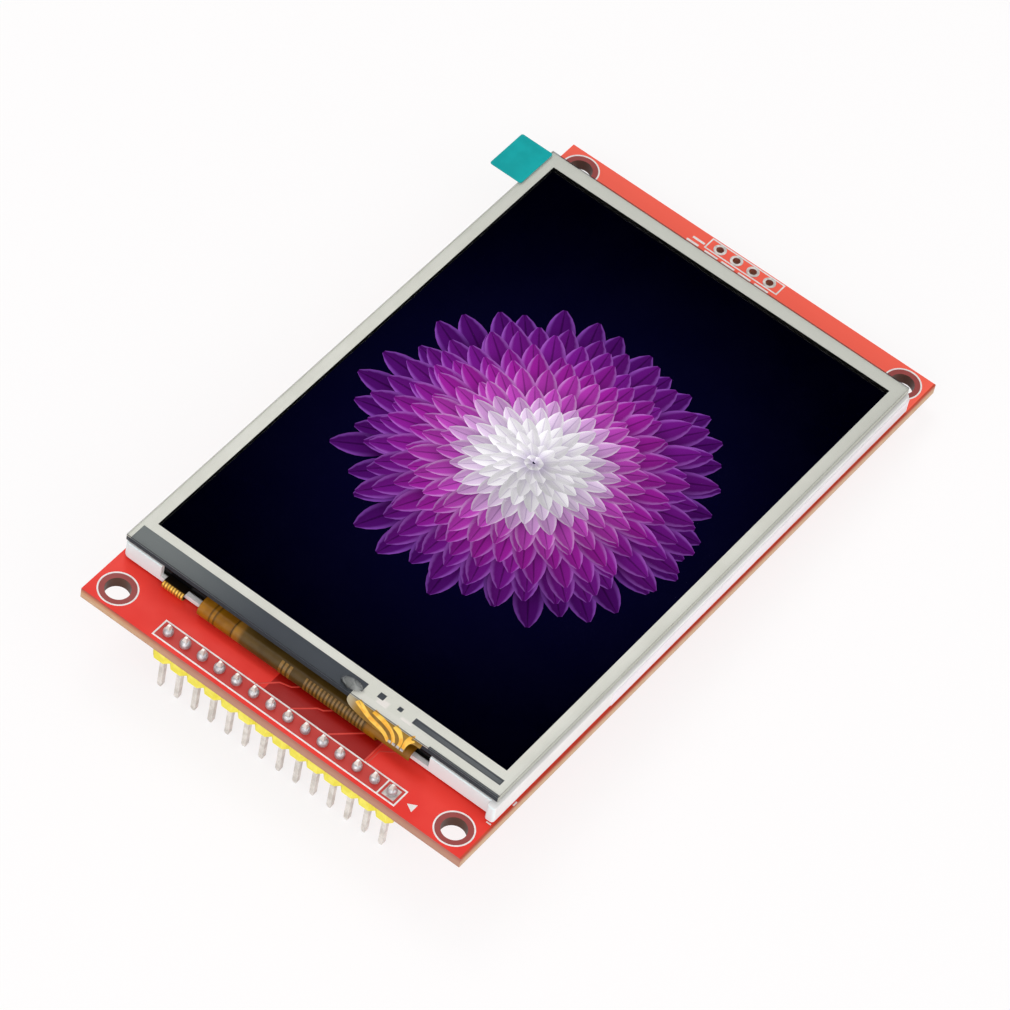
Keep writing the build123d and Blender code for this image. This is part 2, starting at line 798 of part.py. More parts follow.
def gull_lead(body_half, span, middle, sheet, foot, width):
    """Return one bent lead: out of the body at its middle, down, and flat on the board."""
    knee = body_half + sheet
    ankle = span / 2 - foot
    with BuildPart() as lead:
        with BuildSketch(Plane.YZ.offset(-width / 2)) as profile:
            with BuildLine():
                shoulder = sheet / 2 - middle
                Polyline((body_half, shoulder), (knee, shoulder), (ankle, 0), (span / 2, 0))
                offset(amount=sheet, side=Side.RIGHT)
            make_face()
        extrude(profile.sketch, amount=width)
    return lead.part


def package_body(x, y, length, width, height):
    """Return a moulded chip body under the rear face, bevelled round its outer face."""
    with BuildPart() as body:
        block(
            x - length / 2, x + length / 2, y - width / 2, y + width / 2,
            -chip_standoff - height, -chip_standoff,
        )
        chamfer(body.faces().sort_by(Axis.Z)[0].edges(), chip_bevel)
    return body.part


# Touch controller and its sixteen leads
with BuildPart() as controller:
    add(package_body(controller_x, controller_y, controller_length, controller_width, controller_height))
    dimple_x = controller_x - controller_length / 2 + dimple_inset
    dimple_y = controller_y - controller_width / 2 + dimple_inset
    with Locations((dimple_x, dimple_y, -chip_standoff - controller_height)):
        Cylinder(dimple_radius, 2 * dimple_depth, mode=Mode.SUBTRACT)
save(controller, "touch_controller")

controller_lead = gull_lead(
    controller_width / 2, controller_span, chip_standoff + controller_height / 2,
    lead_sheet, lead_foot, lead_width,
)
with BuildPart() as controller_pins:
    for turn in (0, 180):
        with Locations(Location((controller_x, controller_y, 0), (0, 0, turn))):
            with GridLocations(controller_pitch, controller_pitch, controller_leads, 1):
                add(controller_lead)
save(controller_pins, "touch_controller_leads")

# Regulator and backlight transistor, each with one lead on one side and two on the other
small_lead = gull_lead(
    small_width / 2, small_span, chip_standoff + small_height / 2,
    small_lead_sheet, small_lead_foot, small_lead_width,
)
for package_name, package_place in (("regulator", -package_x), ("backlight_transistor", package_x)):
    with BuildPart() as package:
        add(package_body(package_place, package_y, small_length, small_width, small_height))
    save(package, package_name)
    with BuildPart() as package_leads:
        with Locations((package_place, package_y)):
            add(small_lead)
        with Locations(Location((package_place, package_y, 0), (0, 0, 180))):
            with GridLocations(2 * small_pitch, small_pitch, 2, 1):
                add(small_lead)
    save(package_leads, package_name + "_leads")


def chip_row(x, y, count, pitch=chip_row_pitch):
    """Return the centres of a row of chips that runs along X about its middle."""
    return [(x + (index - (count - 1) / 2) * pitch, y) for index in range(count)]


# Chip resistors and capacitors: a body between two end caps, long side along Y
resistor_places = (
    chip_row(controller_x - resistor_row_gap, controller_y, resistor_row_count)
    + chip_row(0, socket_back - pull_up_row_gap, pull_up_row_count)
    + chip_row(package_x - base_row_gap, package_y, base_row_count)
)
capacitor_places = (
    chip_row(controller_x, controller_y + capacitor_row_gap, capacitor_row_count)
    + chip_row(-package_x, package_y + supply_row_gap, supply_row_count, supply_row_pitch)
)
chip_body_length = chip_length - 2 * chip_cap
with BuildPart() as resistors:
    with Locations(*resistor_places):
        Box(chip_width, chip_body_length, resistor_height, align=(Align.CENTER, Align.CENTER, Align.MAX))
save(resistors, "chip_resistors")

with BuildPart() as capacitors:
    with Locations(*capacitor_places):
        Box(chip_width, chip_body_length, capacitor_height, align=(Align.CENTER, Align.CENTER, Align.MAX))
save(capacitors, "chip_capacitors")

with BuildPart() as chip_caps:
    for places, height in ((resistor_places, resistor_height), (capacitor_places, capacitor_height)):
        with Locations(*places):
            with GridLocations(chip_length, chip_length - chip_cap, 1, 2):
                Box(chip_width, chip_cap, height, align=(Align.CENTER, Align.CENTER, Align.MAX))
save(chip_caps, "chip_end_caps")
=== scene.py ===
"""Looks of the touch display module: finishes, fine pieces, studio and camera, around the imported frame."""

import logging
import math
import random
from collections.abc import Callable, Iterable, Iterator, Sequence
from contextlib import contextmanager
from dataclasses import dataclass
from enum import Enum

import bmesh
import bpy
from mathutils import Matrix, Vector


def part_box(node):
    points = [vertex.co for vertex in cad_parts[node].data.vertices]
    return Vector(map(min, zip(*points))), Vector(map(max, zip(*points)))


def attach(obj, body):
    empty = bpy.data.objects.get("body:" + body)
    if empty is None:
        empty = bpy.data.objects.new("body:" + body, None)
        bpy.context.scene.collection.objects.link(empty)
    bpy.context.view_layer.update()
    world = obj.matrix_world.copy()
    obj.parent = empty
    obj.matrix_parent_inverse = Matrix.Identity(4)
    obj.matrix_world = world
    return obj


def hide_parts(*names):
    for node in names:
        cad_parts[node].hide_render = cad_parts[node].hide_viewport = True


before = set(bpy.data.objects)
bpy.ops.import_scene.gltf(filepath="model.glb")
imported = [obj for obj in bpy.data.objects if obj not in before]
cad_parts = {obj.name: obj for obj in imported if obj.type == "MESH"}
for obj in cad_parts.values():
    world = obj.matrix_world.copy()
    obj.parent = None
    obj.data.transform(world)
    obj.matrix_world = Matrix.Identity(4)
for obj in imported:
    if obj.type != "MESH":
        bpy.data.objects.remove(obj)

MM = 0.001
Point = tuple[float, float, float]
Flat = tuple[float, float]
HOLE: Flat = (24.85, 45.05)
ROW_Y = -46.0
PIN_X = tuple(16.51 - 2.54 * index for index in range(14))
CONTACT_X = tuple(-10.0 + 2.5 * index for index in range(9))
LEAD_PITCH = 0.65
SIDES = (-1, 1)
SHARED = {"Mix": {"data_type": "RGBA"}, "MapRange": {"interpolation_type": "SMOOTHSTEP"}}
log = logging.getLogger("display_module")


class Level(Enum):
    """Heights of the stack above the rear face of the board, in millimetres."""

    BOARD_TOP = 1.6
    FOLD_MIDDLE = 2.71
    PICTURE = 4.3505
    TOP = 5.55


# ---- helpers ----


def mm(*values: float) -> Vector:
    """Return a vector in metres from millimetres."""
    return Vector(values) * MM


def linear(code: str) -> tuple[float, float, float, float]:
    """Turn an sRGB hex colour into linear RGBA.

    Args:
        code: six hex digits, with or without a leading hash.

    Returns:
        The linear colour with an alpha of 1.
    """
    digits = code.lstrip("#")
    channels = []
    for start in (0, 2, 4):
        value = int(digits[start:start + 2], 16) / 255
        channels.append(value / 12.92 if value <= 0.04045 else ((value + 0.055) / 1.055) ** 2.4)
    return (*channels, 1.0)


def add_node(
    tree: bpy.types.NodeTree,
    kind: str,
    feeds: dict | None = None,
    stops: Sequence[tuple[float, str]] = (),
    **settings: object,
) -> bpy.types.NodeSocket:
    """Add one node with its settings, colour stops and links.

    Args:
        tree: the node tree.
        kind: Blender's name of the node type, without its first word.
        feeds: for each input, by name or number, a socket to link, a hex colour or a value to set.
        stops: places and hex colours of a colour ramp.
        **settings: the node's own properties, over those in SHARED.

    Returns:
        The first output that the node has in use; its other outputs are reached by the socket's node.
    """
    made = tree.nodes.new(f"ShaderNode{kind}")
    for name, value in {**SHARED.get(kind, {}), **settings}.items():
        setattr(made, name, value)
    if stops:
        elements = made.color_ramp.elements
        while len(elements) > 1:
            elements.remove(elements[-1])
        elements[0].position = stops[0][0]
        elements[0].color = linear(stops[0][1])
        for place, code in stops[1:]:
            elements.new(place).color = linear(code)
    for socket, feed in (feeds or {}).items():
        if isinstance(feed, bpy.types.NodeSocket):
            tree.links.new(feed, made.inputs[socket])
        else:
            made.inputs[socket].default_value = linear(feed) if isinstance(feed, str) else feed
    return next(output for output in made.outputs if output.enabled)


class Sheet:
    """A material being made: its tree, its shader and the sockets that every pattern reads.

    The place on the object, here, and its x, y and z are in millimetres. Facing falls to -1 on a face that looks
    toward the header, and level is 1 on one that looks up.
    """

    def __init__(self, name: str) -> None:
        """Start a material with a Principled shader.

        Args:
            name: the finish's own name.
        """
        self.material = bpy.data.materials.new(name)
        self.material.use_nodes = True
        self.tree = self.material.node_tree
        self.shader = self.tree.nodes["Principled BSDF"]
        self.output = self.tree.nodes["Material Output"]
        coordinates = self.add("TexCoord").node.outputs
        self.map = coordinates["UV"]
        self.here = self.add("VectorMath", {0: coordinates["Object"], 3: 1 / MM}, operation="SCALE")
        self.x, self.y, self.z = self.add("SeparateXYZ", {0: self.here}).node.outputs
        _, self.facing, self.level = self.add("SeparateXYZ", {0: coordinates["Normal"]}).node.outputs

    def add(
        self, kind: str, feeds: dict | None = None, stops: Sequence[tuple[float, str]] = (), **settings: object
    ) -> bpy.types.NodeSocket:
        """Add one node to this material; see add_node."""
        return add_node(self.tree, kind, feeds, stops, **settings)

    def feed(self, name: str, value: object) -> None:
        """Link a socket to one of the shader's inputs, or set it.

        Args:
            name: the input's name.
            value: a socket or a value.
        """
        if isinstance(value, bpy.types.NodeSocket):
            self.tree.links.new(value, self.shader.inputs[name])
        else:
            self.shader.inputs[name].default_value = value

    def fed(self, name: str) -> bpy.types.NodeSocket:
        """Return the socket that one of the shader's inputs is linked to."""
        return self.shader.inputs[name].links[0].from_socket

    def window(self, centre: Flat, half: Flat, soft: float = 0.04) -> bpy.types.NodeSocket:
        """Mask a rectangle on the board.

        Args:
            centre: its middle in millimetres.
            half: its half sizes in millimetres.
            soft: width of its edge in millimetres.

        Returns:
            1 inside it and 0 outside.
        """
        sides = []
        for place, middle, size in zip((self.x, self.y), centre, half):
            offset = self.add("Math", {0: place, 1: middle}, operation="SUBTRACT")
            away = self.add("Math", {0: offset}, operation="ABSOLUTE")
            sides.append(self.add("MapRange", {0: away, 1: size + soft, 2: size - soft}))
        return self.add("Math", {0: sides[0], 1: sides[1]}, operation="MULTIPLY")

    def upright(self) -> bpy.types.NodeSocket:
        """Return 1 on side faces and 0 on level ones."""
        level = self.add("Math", {0: self.level}, operation="ABSOLUTE")
        return self.add("MapRange", {0: level, 1: 0.75, 2: 0.55})

    def headward(self) -> bpy.types.NodeSocket:
        """Return 1 on faces that look toward the header and 0 on others."""
        return self.add("MapRange", {0: self.facing, 1: -0.4, 2: -0.7})

    def roughen(self, height: bpy.types.NodeSocket, depth: float) -> None:
        """Raise the surface by a height pattern, depth millimetres at most, over any earlier bump."""
        feeds = {"Height": height, "Distance": depth * MM, "Strength": 1.0}
        if self.shader.inputs["Normal"].links:
            feeds["Normal"] = self.fed("Normal")
        self.feed("Normal", self.add("Bump", feeds))


# ---- finishes ----


@dataclass(frozen=True)
class Finish:
    """A finish of one material: two near colours in slow patches, a gloss and a fine grain.

    Sizes are in millimetres: patch is the colour's, grain and depth are the surface's. Each tint turns the colour to
    another between two readings of one of the sheet's sockets, and each zone inside a soft-edged rectangle.
    """

    name: str
    colour: str
    shade: str
    roughness: float = 0.5
    metallic: float = 0.0
    patch: float = 3.0
    grain: float = 0.08
    depth: float = 0.004
    alpha: float = 1.0
    shine: float = 0.22
    tints: tuple = ()
    zones: tuple = ()

    def make(self) -> bpy.types.Material:
        """Build the material and return it."""
        sheet = Sheet(self.name)
        sheet.feed("Base Color", self.colouring(sheet))
        sheet.feed("Metallic", self.metallic)
        if not self.metallic:
            sheet.feed("Specular IOR Level", self.shine)
        wear = sheet.add("TexNoise", {"Vector": sheet.here, "Scale": 2 / self.patch, "Detail": 3.0})
        duller, glossier = self.roughness * 1.15, self.roughness * 0.85
        sheet.feed("Roughness", sheet.add("MapRange", {0: wear, 1: 0.3, 2: 0.7, 3: glossier, 4: duller}))
        grain = sheet.add("TexNoise", {"Vector": sheet.here, "Scale": 1 / self.grain, "Detail": 2.0})
        sheet.roughen(grain, self.depth)
        if self.alpha < 1:
            sheet.feed("Alpha", self.alpha)
        self.dress(sheet)
        return sheet.material

    def colouring(self, sheet: Sheet) -> bpy.types.NodeSocket:
        """Return the colour over the surface."""
        noise = sheet.add("TexNoise", {"Vector": sheet.here, "Scale": 1 / self.patch, "Detail": 3.0})
        patches = sheet.add("MapRange", {0: noise, 1: 0.35, 2: 0.65})
        colour = sheet.add("Mix", {0: patches, 6: self.colour, 7: self.shade})
        masks = [
            (sheet.add("MapRange", {0: getattr(sheet, socket), 1: low, 2: high}), code)
            for socket, low, high, code in self.tints
        ]
        masks += [(sheet.window(centre, half, soft), code) for centre, half, soft, code in self.zones]
        for mask, code in masks:
            colour = sheet.add("Mix", {0: mask, 6: colour, 7: code})
        return colour

    def dress(self, sheet: Sheet) -> None:
        """Add what this finish alone has; the plain one has nothing."""


@dataclass(frozen=True)
class SolderMask(Finish):
    """Glossy red solder mask on glass-epoxy: duller where no copper lies under it, tan layered cut edges; with painted
    shade under the module's front edge and a painted highlight toward the far end.

    The laminate's layers are 1 / (0.9 * 14), about 0.08 mm, and the cloth's threads tau / (20 * 0.5), about 0.6 mm.
    """

    # painted highlight: the mask brightens to orange-red toward the far end
    tints: tuple = (("y", -48.0, 48.0, "#FF6450"),)
    ring: str = "#9A4441"
    bore: str = "#573222"
    ring_radius: float = 2.3
    bore_radius: float = 1.65
    # painted shade under the module's front edge, where the board is also bare of copper; along the header, bare of
    # copper; and the rim
    face_zones: tuple = (
        ("#A0100A", (4.1, -41.0), (7.5, 3.62)), ("#CA3E38", (0.0, -46.0), (17.7, 1.2)),
        ("#C4482A", (27.93, 0.0), (0.16, 48.0)),
    )
    layer_scale: float = 0.9
    layer_stretch: float = 14.0
    cloth_scale: float = 0.5
    cloth_depth: float = 0.0015
    layers: tuple = (
        (0.0, "#A9745A"), (0.06, "#D6B48E"), (0.45, "#D3AE88"), (0.7, "#C78A62"), (0.88, "#B4543A"), (1.0, "#A02620"),
    )

    def colouring(self, sheet: Sheet) -> bpy.types.NodeSocket:
        """Return mask colours on the faces, cut laminate on the sides, and dull rings at the holes."""
        face = super().colouring(sheet)
        top = sheet.add("MapRange", {0: sheet.z, 1: 0.8, 2: 0.9})
        for code, centre, half in self.face_zones:
            zone = sheet.add("Math", {0: sheet.window(centre, half), 1: top}, operation="MULTIPLY")
            face = sheet.add("Mix", {0: zone, 6: face, 7: code})
        corner = sheet.add("VectorMath", {0: sheet.here}, operation="ABSOLUTE")
        flat = sheet.add("VectorMath", {0: corner, 1: (1, 1, 0)}, operation="MULTIPLY")
        reach = sheet.add("VectorMath", {0: flat, 1: (*HOLE, 0)}, operation="DISTANCE")
        ring = sheet.add("MapRange", {0: reach, 1: self.ring_radius + 0.06, 2: self.ring_radius})
        bore = sheet.add("MapRange", {0: reach, 1: self.bore_radius + 0.1, 2: self.bore_radius})
        face = sheet.add("Mix", {0: ring, 6: face, 7: self.ring})
        cut = sheet.add("Mix", {0: bore, 6: self.laminate(sheet), 7: self.bore})
        return sheet.add("Mix", {0: sheet.upright(), 6: face, 7: cut})

    def laminate(self, sheet: Sheet) -> bpy.types.NodeSocket:
        """Return the routed edge: tan glass-epoxy in thin layers, turning red under the mask, with painted shade on the
        side facing the header.
        """
        stretched = sheet.add("Mapping", {0: sheet.here, 3: (1.0, 1.0, self.layer_stretch)})
        noise = sheet.add("TexNoise", {"Vector": stretched, "Scale": self.layer_scale, "Detail": 4.0})
        layers = sheet.add("MapRange", {0: noise, 1: 0.35, 2: 0.65, 4: 0.5})
        height = sheet.add("MapRange", {0: sheet.z, 2: Level.BOARD_TOP.value}, interpolation_type="LINEAR")
        cut = sheet.add("ValToRGB", {0: height}, self.layers)
        cut = sheet.add("Mix", {0: layers, 6: cut, 7: "#D8BCA0"}, blend_type="MULTIPLY")
        # painted shade: on the side facing the header the edge darkens to pinkish brown toward +x
        along = sheet.add("MapRange", {0: sheet.x, 1: -24, 2: -8, 3: 0.15, 4: 0.68})
        edge_shade = sheet.add("Math", {0: sheet.headward(), 1: along}, operation="MULTIPLY")
        return sheet.add("Mix", {0: edge_shade, 6: cut, 7: "#A87268"})

    def dress(self, sheet: Sheet) -> None:
        """Add the faint weave of the glass cloth."""
        for axis in ((1, 0, 0), (0, 1, 0)):
            turned = sheet.add("VectorMath", {0: sheet.here, 1: axis}, operation="MULTIPLY")
            feeds = {"Vector": turned, "Scale": self.cloth_scale, "Distortion": 1.5}
            threads = sheet.add("TexWave", feeds, bands_direction="DIAGONAL").node.outputs["Fac"]
            sheet.roughen(threads, self.cloth_depth)


@dataclass(frozen=True)
class Banded(Finish):
    """A flex: polyimide over copper, whose colour changes in bands across the board."""

    bands: tuple = ((0.0, "#9A6A18"),)
    half: float = 15.6

    def colouring(self, sheet: Sheet) -> bpy.types.NodeSocket:
        """Return the bands by their place along X, mottled slightly."""
        half = self.half
        along = sheet.add("MapRange", {0: sheet.x, 1: -half, 2: half}, interpolation_type="LINEAR")
        stops = [((x + half) / (2 * half), code) for x, code in self.bands]
        bands = sheet.add("ValToRGB", {0: along}, stops)
        noise = sheet.add("TexNoise", {"Vector": sheet.here, "Scale": 1 / self.patch, "Detail": 3.0})
        patches = sheet.add("MapRange", {0: noise, 1: 0.3, 2: 0.7, 4: 0.35})
        return sheet.add("Mix", {0: patches, 6: bands, 7: self.shade}, blend_type="MULTIPLY")


@dataclass(frozen=True)
class Clear(Finish):
    """Clear film or glass: level faces let the eye through, cut sides show as an edge of their own."""

    side_alpha: float = 0.5
    # painted shade: the side toward the ledge, dark for the shade seen through the glass
    near: str = "#3E4247"

    def dress(self, sheet: Sheet) -> None:
        """Make level faces nearly invisible and sides visible, with painted shade on the side toward the ledge."""
        side = sheet.add("Mix", {0: sheet.headward(), 6: self.colour, 7: self.near})
        upright = sheet.upright()
        sheet.feed("Base Color", sheet.add("Mix", {0: upright, 6: self.shade, 7: side}))
        sheet.feed("Alpha", sheet.add("MapRange", {0: upright, 3: self.alpha, 4: self.side_alpha}))


@dataclass(frozen=True)
class BackedGlass(Clear):
    """Clear glass whose bonded face carries a slate film over the ledge, paler at its two ends."""

    film: str = "#4E5258"
    left_film: str = "#7C8181"
    right_film: str = "#6A6D70"
    left_run: Flat = (-6.0, -27.0)
    right_run: Flat = (10.0, 20.0)
    edge: float = -37.02
    face: float = 5.25

    def dress(self, sheet: Sheet) -> None:
        """Dress the clear glass, then cover the bonded face up to the film's edge."""
        super().dress(sheet)
        strip = sheet.add("MapRange", {0: sheet.y, 1: self.edge + 0.05, 2: self.edge - 0.05})
        bonded = sheet.add("MapRange", {0: sheet.z, 1: self.face - 0.03, 2: self.face - 0.01})
        film = sheet.add("Math", {0: strip, 1: bonded}, operation="MULTIPLY")
        left = sheet.add("MapRange", {0: sheet.x, 1: self.left_run[0], 2: self.left_run[1]})
        right = sheet.add("MapRange", {0: sheet.x, 1: self.right_run[0], 2: self.right_run[1]})
        slate = sheet.add("Mix", {0: left, 6: self.film, 7: self.left_film})
        slate = sheet.add("Mix", {0: right, 6: slate, 7: self.right_film})
        sheet.feed("Base Color", sheet.add("Mix", {0: film, 6: sheet.fed("Base Color"), 7: slate}))
        sheet.feed("Alpha", sheet.add("Math", {0: sheet.fed("Alpha"), 1: film}, operation="MAXIMUM"))


@dataclass(frozen=True)
class FlexTail(Finish):
    """Clear flex that is printed over where it is bonded into the panel."""

    print_colour: str = "#E0DFD6"
    edge_colour: str = "#BDB092"
    edge: Flat = (6.0, 7.4)
    bond: float = -40.72

    def dress(self, sheet: Sheet) -> None:
        """Cover the bonded end with the print and leave the leaning tail clear."""
        bonded = sheet.add("MapRange", {0: sheet.y, 1: self.bond - 0.08, 2: self.bond + 0.02})
        inner = sheet.add("MapRange", {0: sheet.x, 1: self.edge[1], 2: self.edge[0]})
        tail = sheet.add("Mix", {0: inner, 6: sheet.fed("Base Color"), 7: self.edge_colour})
        sheet.feed("Base Color", sheet.add("Mix", {0: bonded, 6: tail, 7: self.print_colour}))
        sheet.feed("Alpha", sheet.add("MapRange", {0: bonded, 3: self.alpha}))


@dataclass(frozen=True)
class Drop(Finish):
    """Cured adhesive that thins out to nothing at its rim."""

    base: float = Level.TOP.value
    height: float = 0.075
    densest: float = 0.8

    def dress(self, sheet: Sheet) -> None:
        """Let the thin rim be clear and the middle milky."""
        low, high = self.base + self.height * 0.3, self.base + self.height
        sheet.feed("Alpha", sheet.add("MapRange", {0: sheet.z, 1: low, 2: high, 4: self.densest}))


@dataclass(frozen=True)
class Lit(Finish):
    """The lit picture: petals read their own map, dark at the foot, pale along the lips.

    Each ramp of colours runs from the outer ring's tone to the inner ring's.
    """

    body: tuple = (
        (0.0, "#4C0E66"), (0.2, "#721886"), (0.42, "#9F229C"), (0.6, "#BF48BC"), (0.74, "#DBB2E4"), (0.9, "#FBF7FD"),
    )
    lip: tuple = ((0.0, "#8A4CB4"), (0.35, "#B86CD0"), (0.6, "#E2A8E6"), (0.8, "#FFFFFF"))
    foot: tuple = ((0.0, "#100018"), (0.4, "#2A0434"), (0.65, "#5C1A66"), (0.85, "#B7A0CC"), (1.0, "#D6CAE4"))

    def dress(self, sheet: Sheet) -> None:
        """Colour each petal from its ring's tone and its own map, and let it shine."""
        tone, chance = (
            sheet.add("Attribute", attribute_name=name).node.outputs["Fac"] for name in ("tone", "chance")
        )
        across, along, _ = sheet.add("SeparateXYZ", {0: sheet.map}).node.outputs
        body, lip, foot = (sheet.add("ValToRGB", {0: tone}, stops) for stops in (self.body, self.lip, self.foot))
        side = sheet.add("Math", {0: across, 1: 0.5}, operation="SUBTRACT")
        away = sheet.add("Math", {0: side}, operation="ABSOLUTE")
        rim = sheet.add("MapRange", {0: away, 1: 0.3, 2: 0.46})
        tip = sheet.add("MapRange", {0: along, 1: 0.35, 2: 0.85, 4: 0.75})
        glow = sheet.add("Math", {0: rim, 1: tip}, operation="MULTIPLY")
        crease = sheet.add("MapRange", {0: away, 1: 0.07, 2: 0.0, 4: 0.55})
        risen = sheet.add("MapRange", {0: along, 1: 0.1, 2: 0.75})
        colour = sheet.add("Mix", {0: risen, 6: foot, 7: body})
        colour = sheet.add("Mix", {0: glow, 6: colour, 7: lip})
        colour = sheet.add("Mix", {0: crease, 6: colour, 7: foot})
        half_light = sheet.add("MapRange", {0: side, 1: -0.35, 2: 0.35, 3: 1.0, 4: 0.74})
        shaded = sheet.add("VectorMath", {0: colour, 3: half_light}, operation="SCALE")
        variety = sheet.add("MapRange", {0: chance, 3: 0.72, 4: 1.12})
        varied = sheet.add("VectorMath", {0: shaded, 3: variety}, operation="SCALE")
        sheet.feed("Emission Color", varied)
        sheet.feed("Emission Strength", 1.0)


@dataclass(frozen=True)
class Dark(Finish):
    """The unlit ground of the picture: near-black with a little blue in the middle of the screen."""

    ground: tuple = ((0.0, "#06042A"), (0.6, "#03031A"), (1.0, "#000006"))
    radius: float = 44.0

    def dress(self, sheet: Sheet) -> None:
        """Let the ground shine faintly blue round the middle."""
        reach = sheet.add("VectorMath", {0: sheet.here}, operation="LENGTH")
        share = sheet.add("MapRange", {0: reach, 2: self.radius})
        glow = sheet.add("ValToRGB", {0: share}, self.ground)
        sheet.feed("Emission Color", glow)
        sheet.feed("Emission Strength", 1.0)


@dataclass(frozen=True)
class Brushed(Finish):
    """Rolled or drawn metal: fine lines one way, 1 / (0.4 * 30) or about 0.08 mm apart."""

    lines: Point = (1.0, 30.0, 30.0)
    line_scale: float = 0.4
    line_depth: float = 0.002

    def dress(self, sheet: Sheet) -> None:
        """Add the lines as a shallow bump and a change of gloss."""
        stretched = sheet.add("Mapping", {0: sheet.here, 3: self.lines})
        streaks = sheet.add("TexNoise", {"Vector": stretched, "Scale": self.line_scale, "Detail": 2.0})
        glossier, duller = self.roughness * 0.7, self.roughness * 1.4
        sheet.feed("Roughness", sheet.add("MapRange", {0: streaks, 1: 0.3, 2: 0.7, 3: glossier, 4: duller}))
        sheet.roughen(streaks, self.line_depth)


FLEX_BANDS = (
    (-15.6, "#A87018"), (-14.0, "#9C6816"), (-13.85, "#3E2A0A"), (-13.65, "#A26E1C"), (-13.4, "#A26E1C"),
    (-13.25, "#3E2A0A"), (-13.05, "#93620F"), (-10.75, "#8E5E12"), (-10.6, "#35240A"), (-10.4, "#A67426"),
    (-9.6, "#93682A"), (-9.2, "#624A20"), (-6.5, "#523E1A"), (-3.7, "#54401A"), (-1.9, "#54401A"),
    (0.0, "#4E3A16"), (8.9, "#584014"), (9.2, "#95640E"), (12.0, "#8E5E0C"), (15.6, "#8A5A0C"),
)


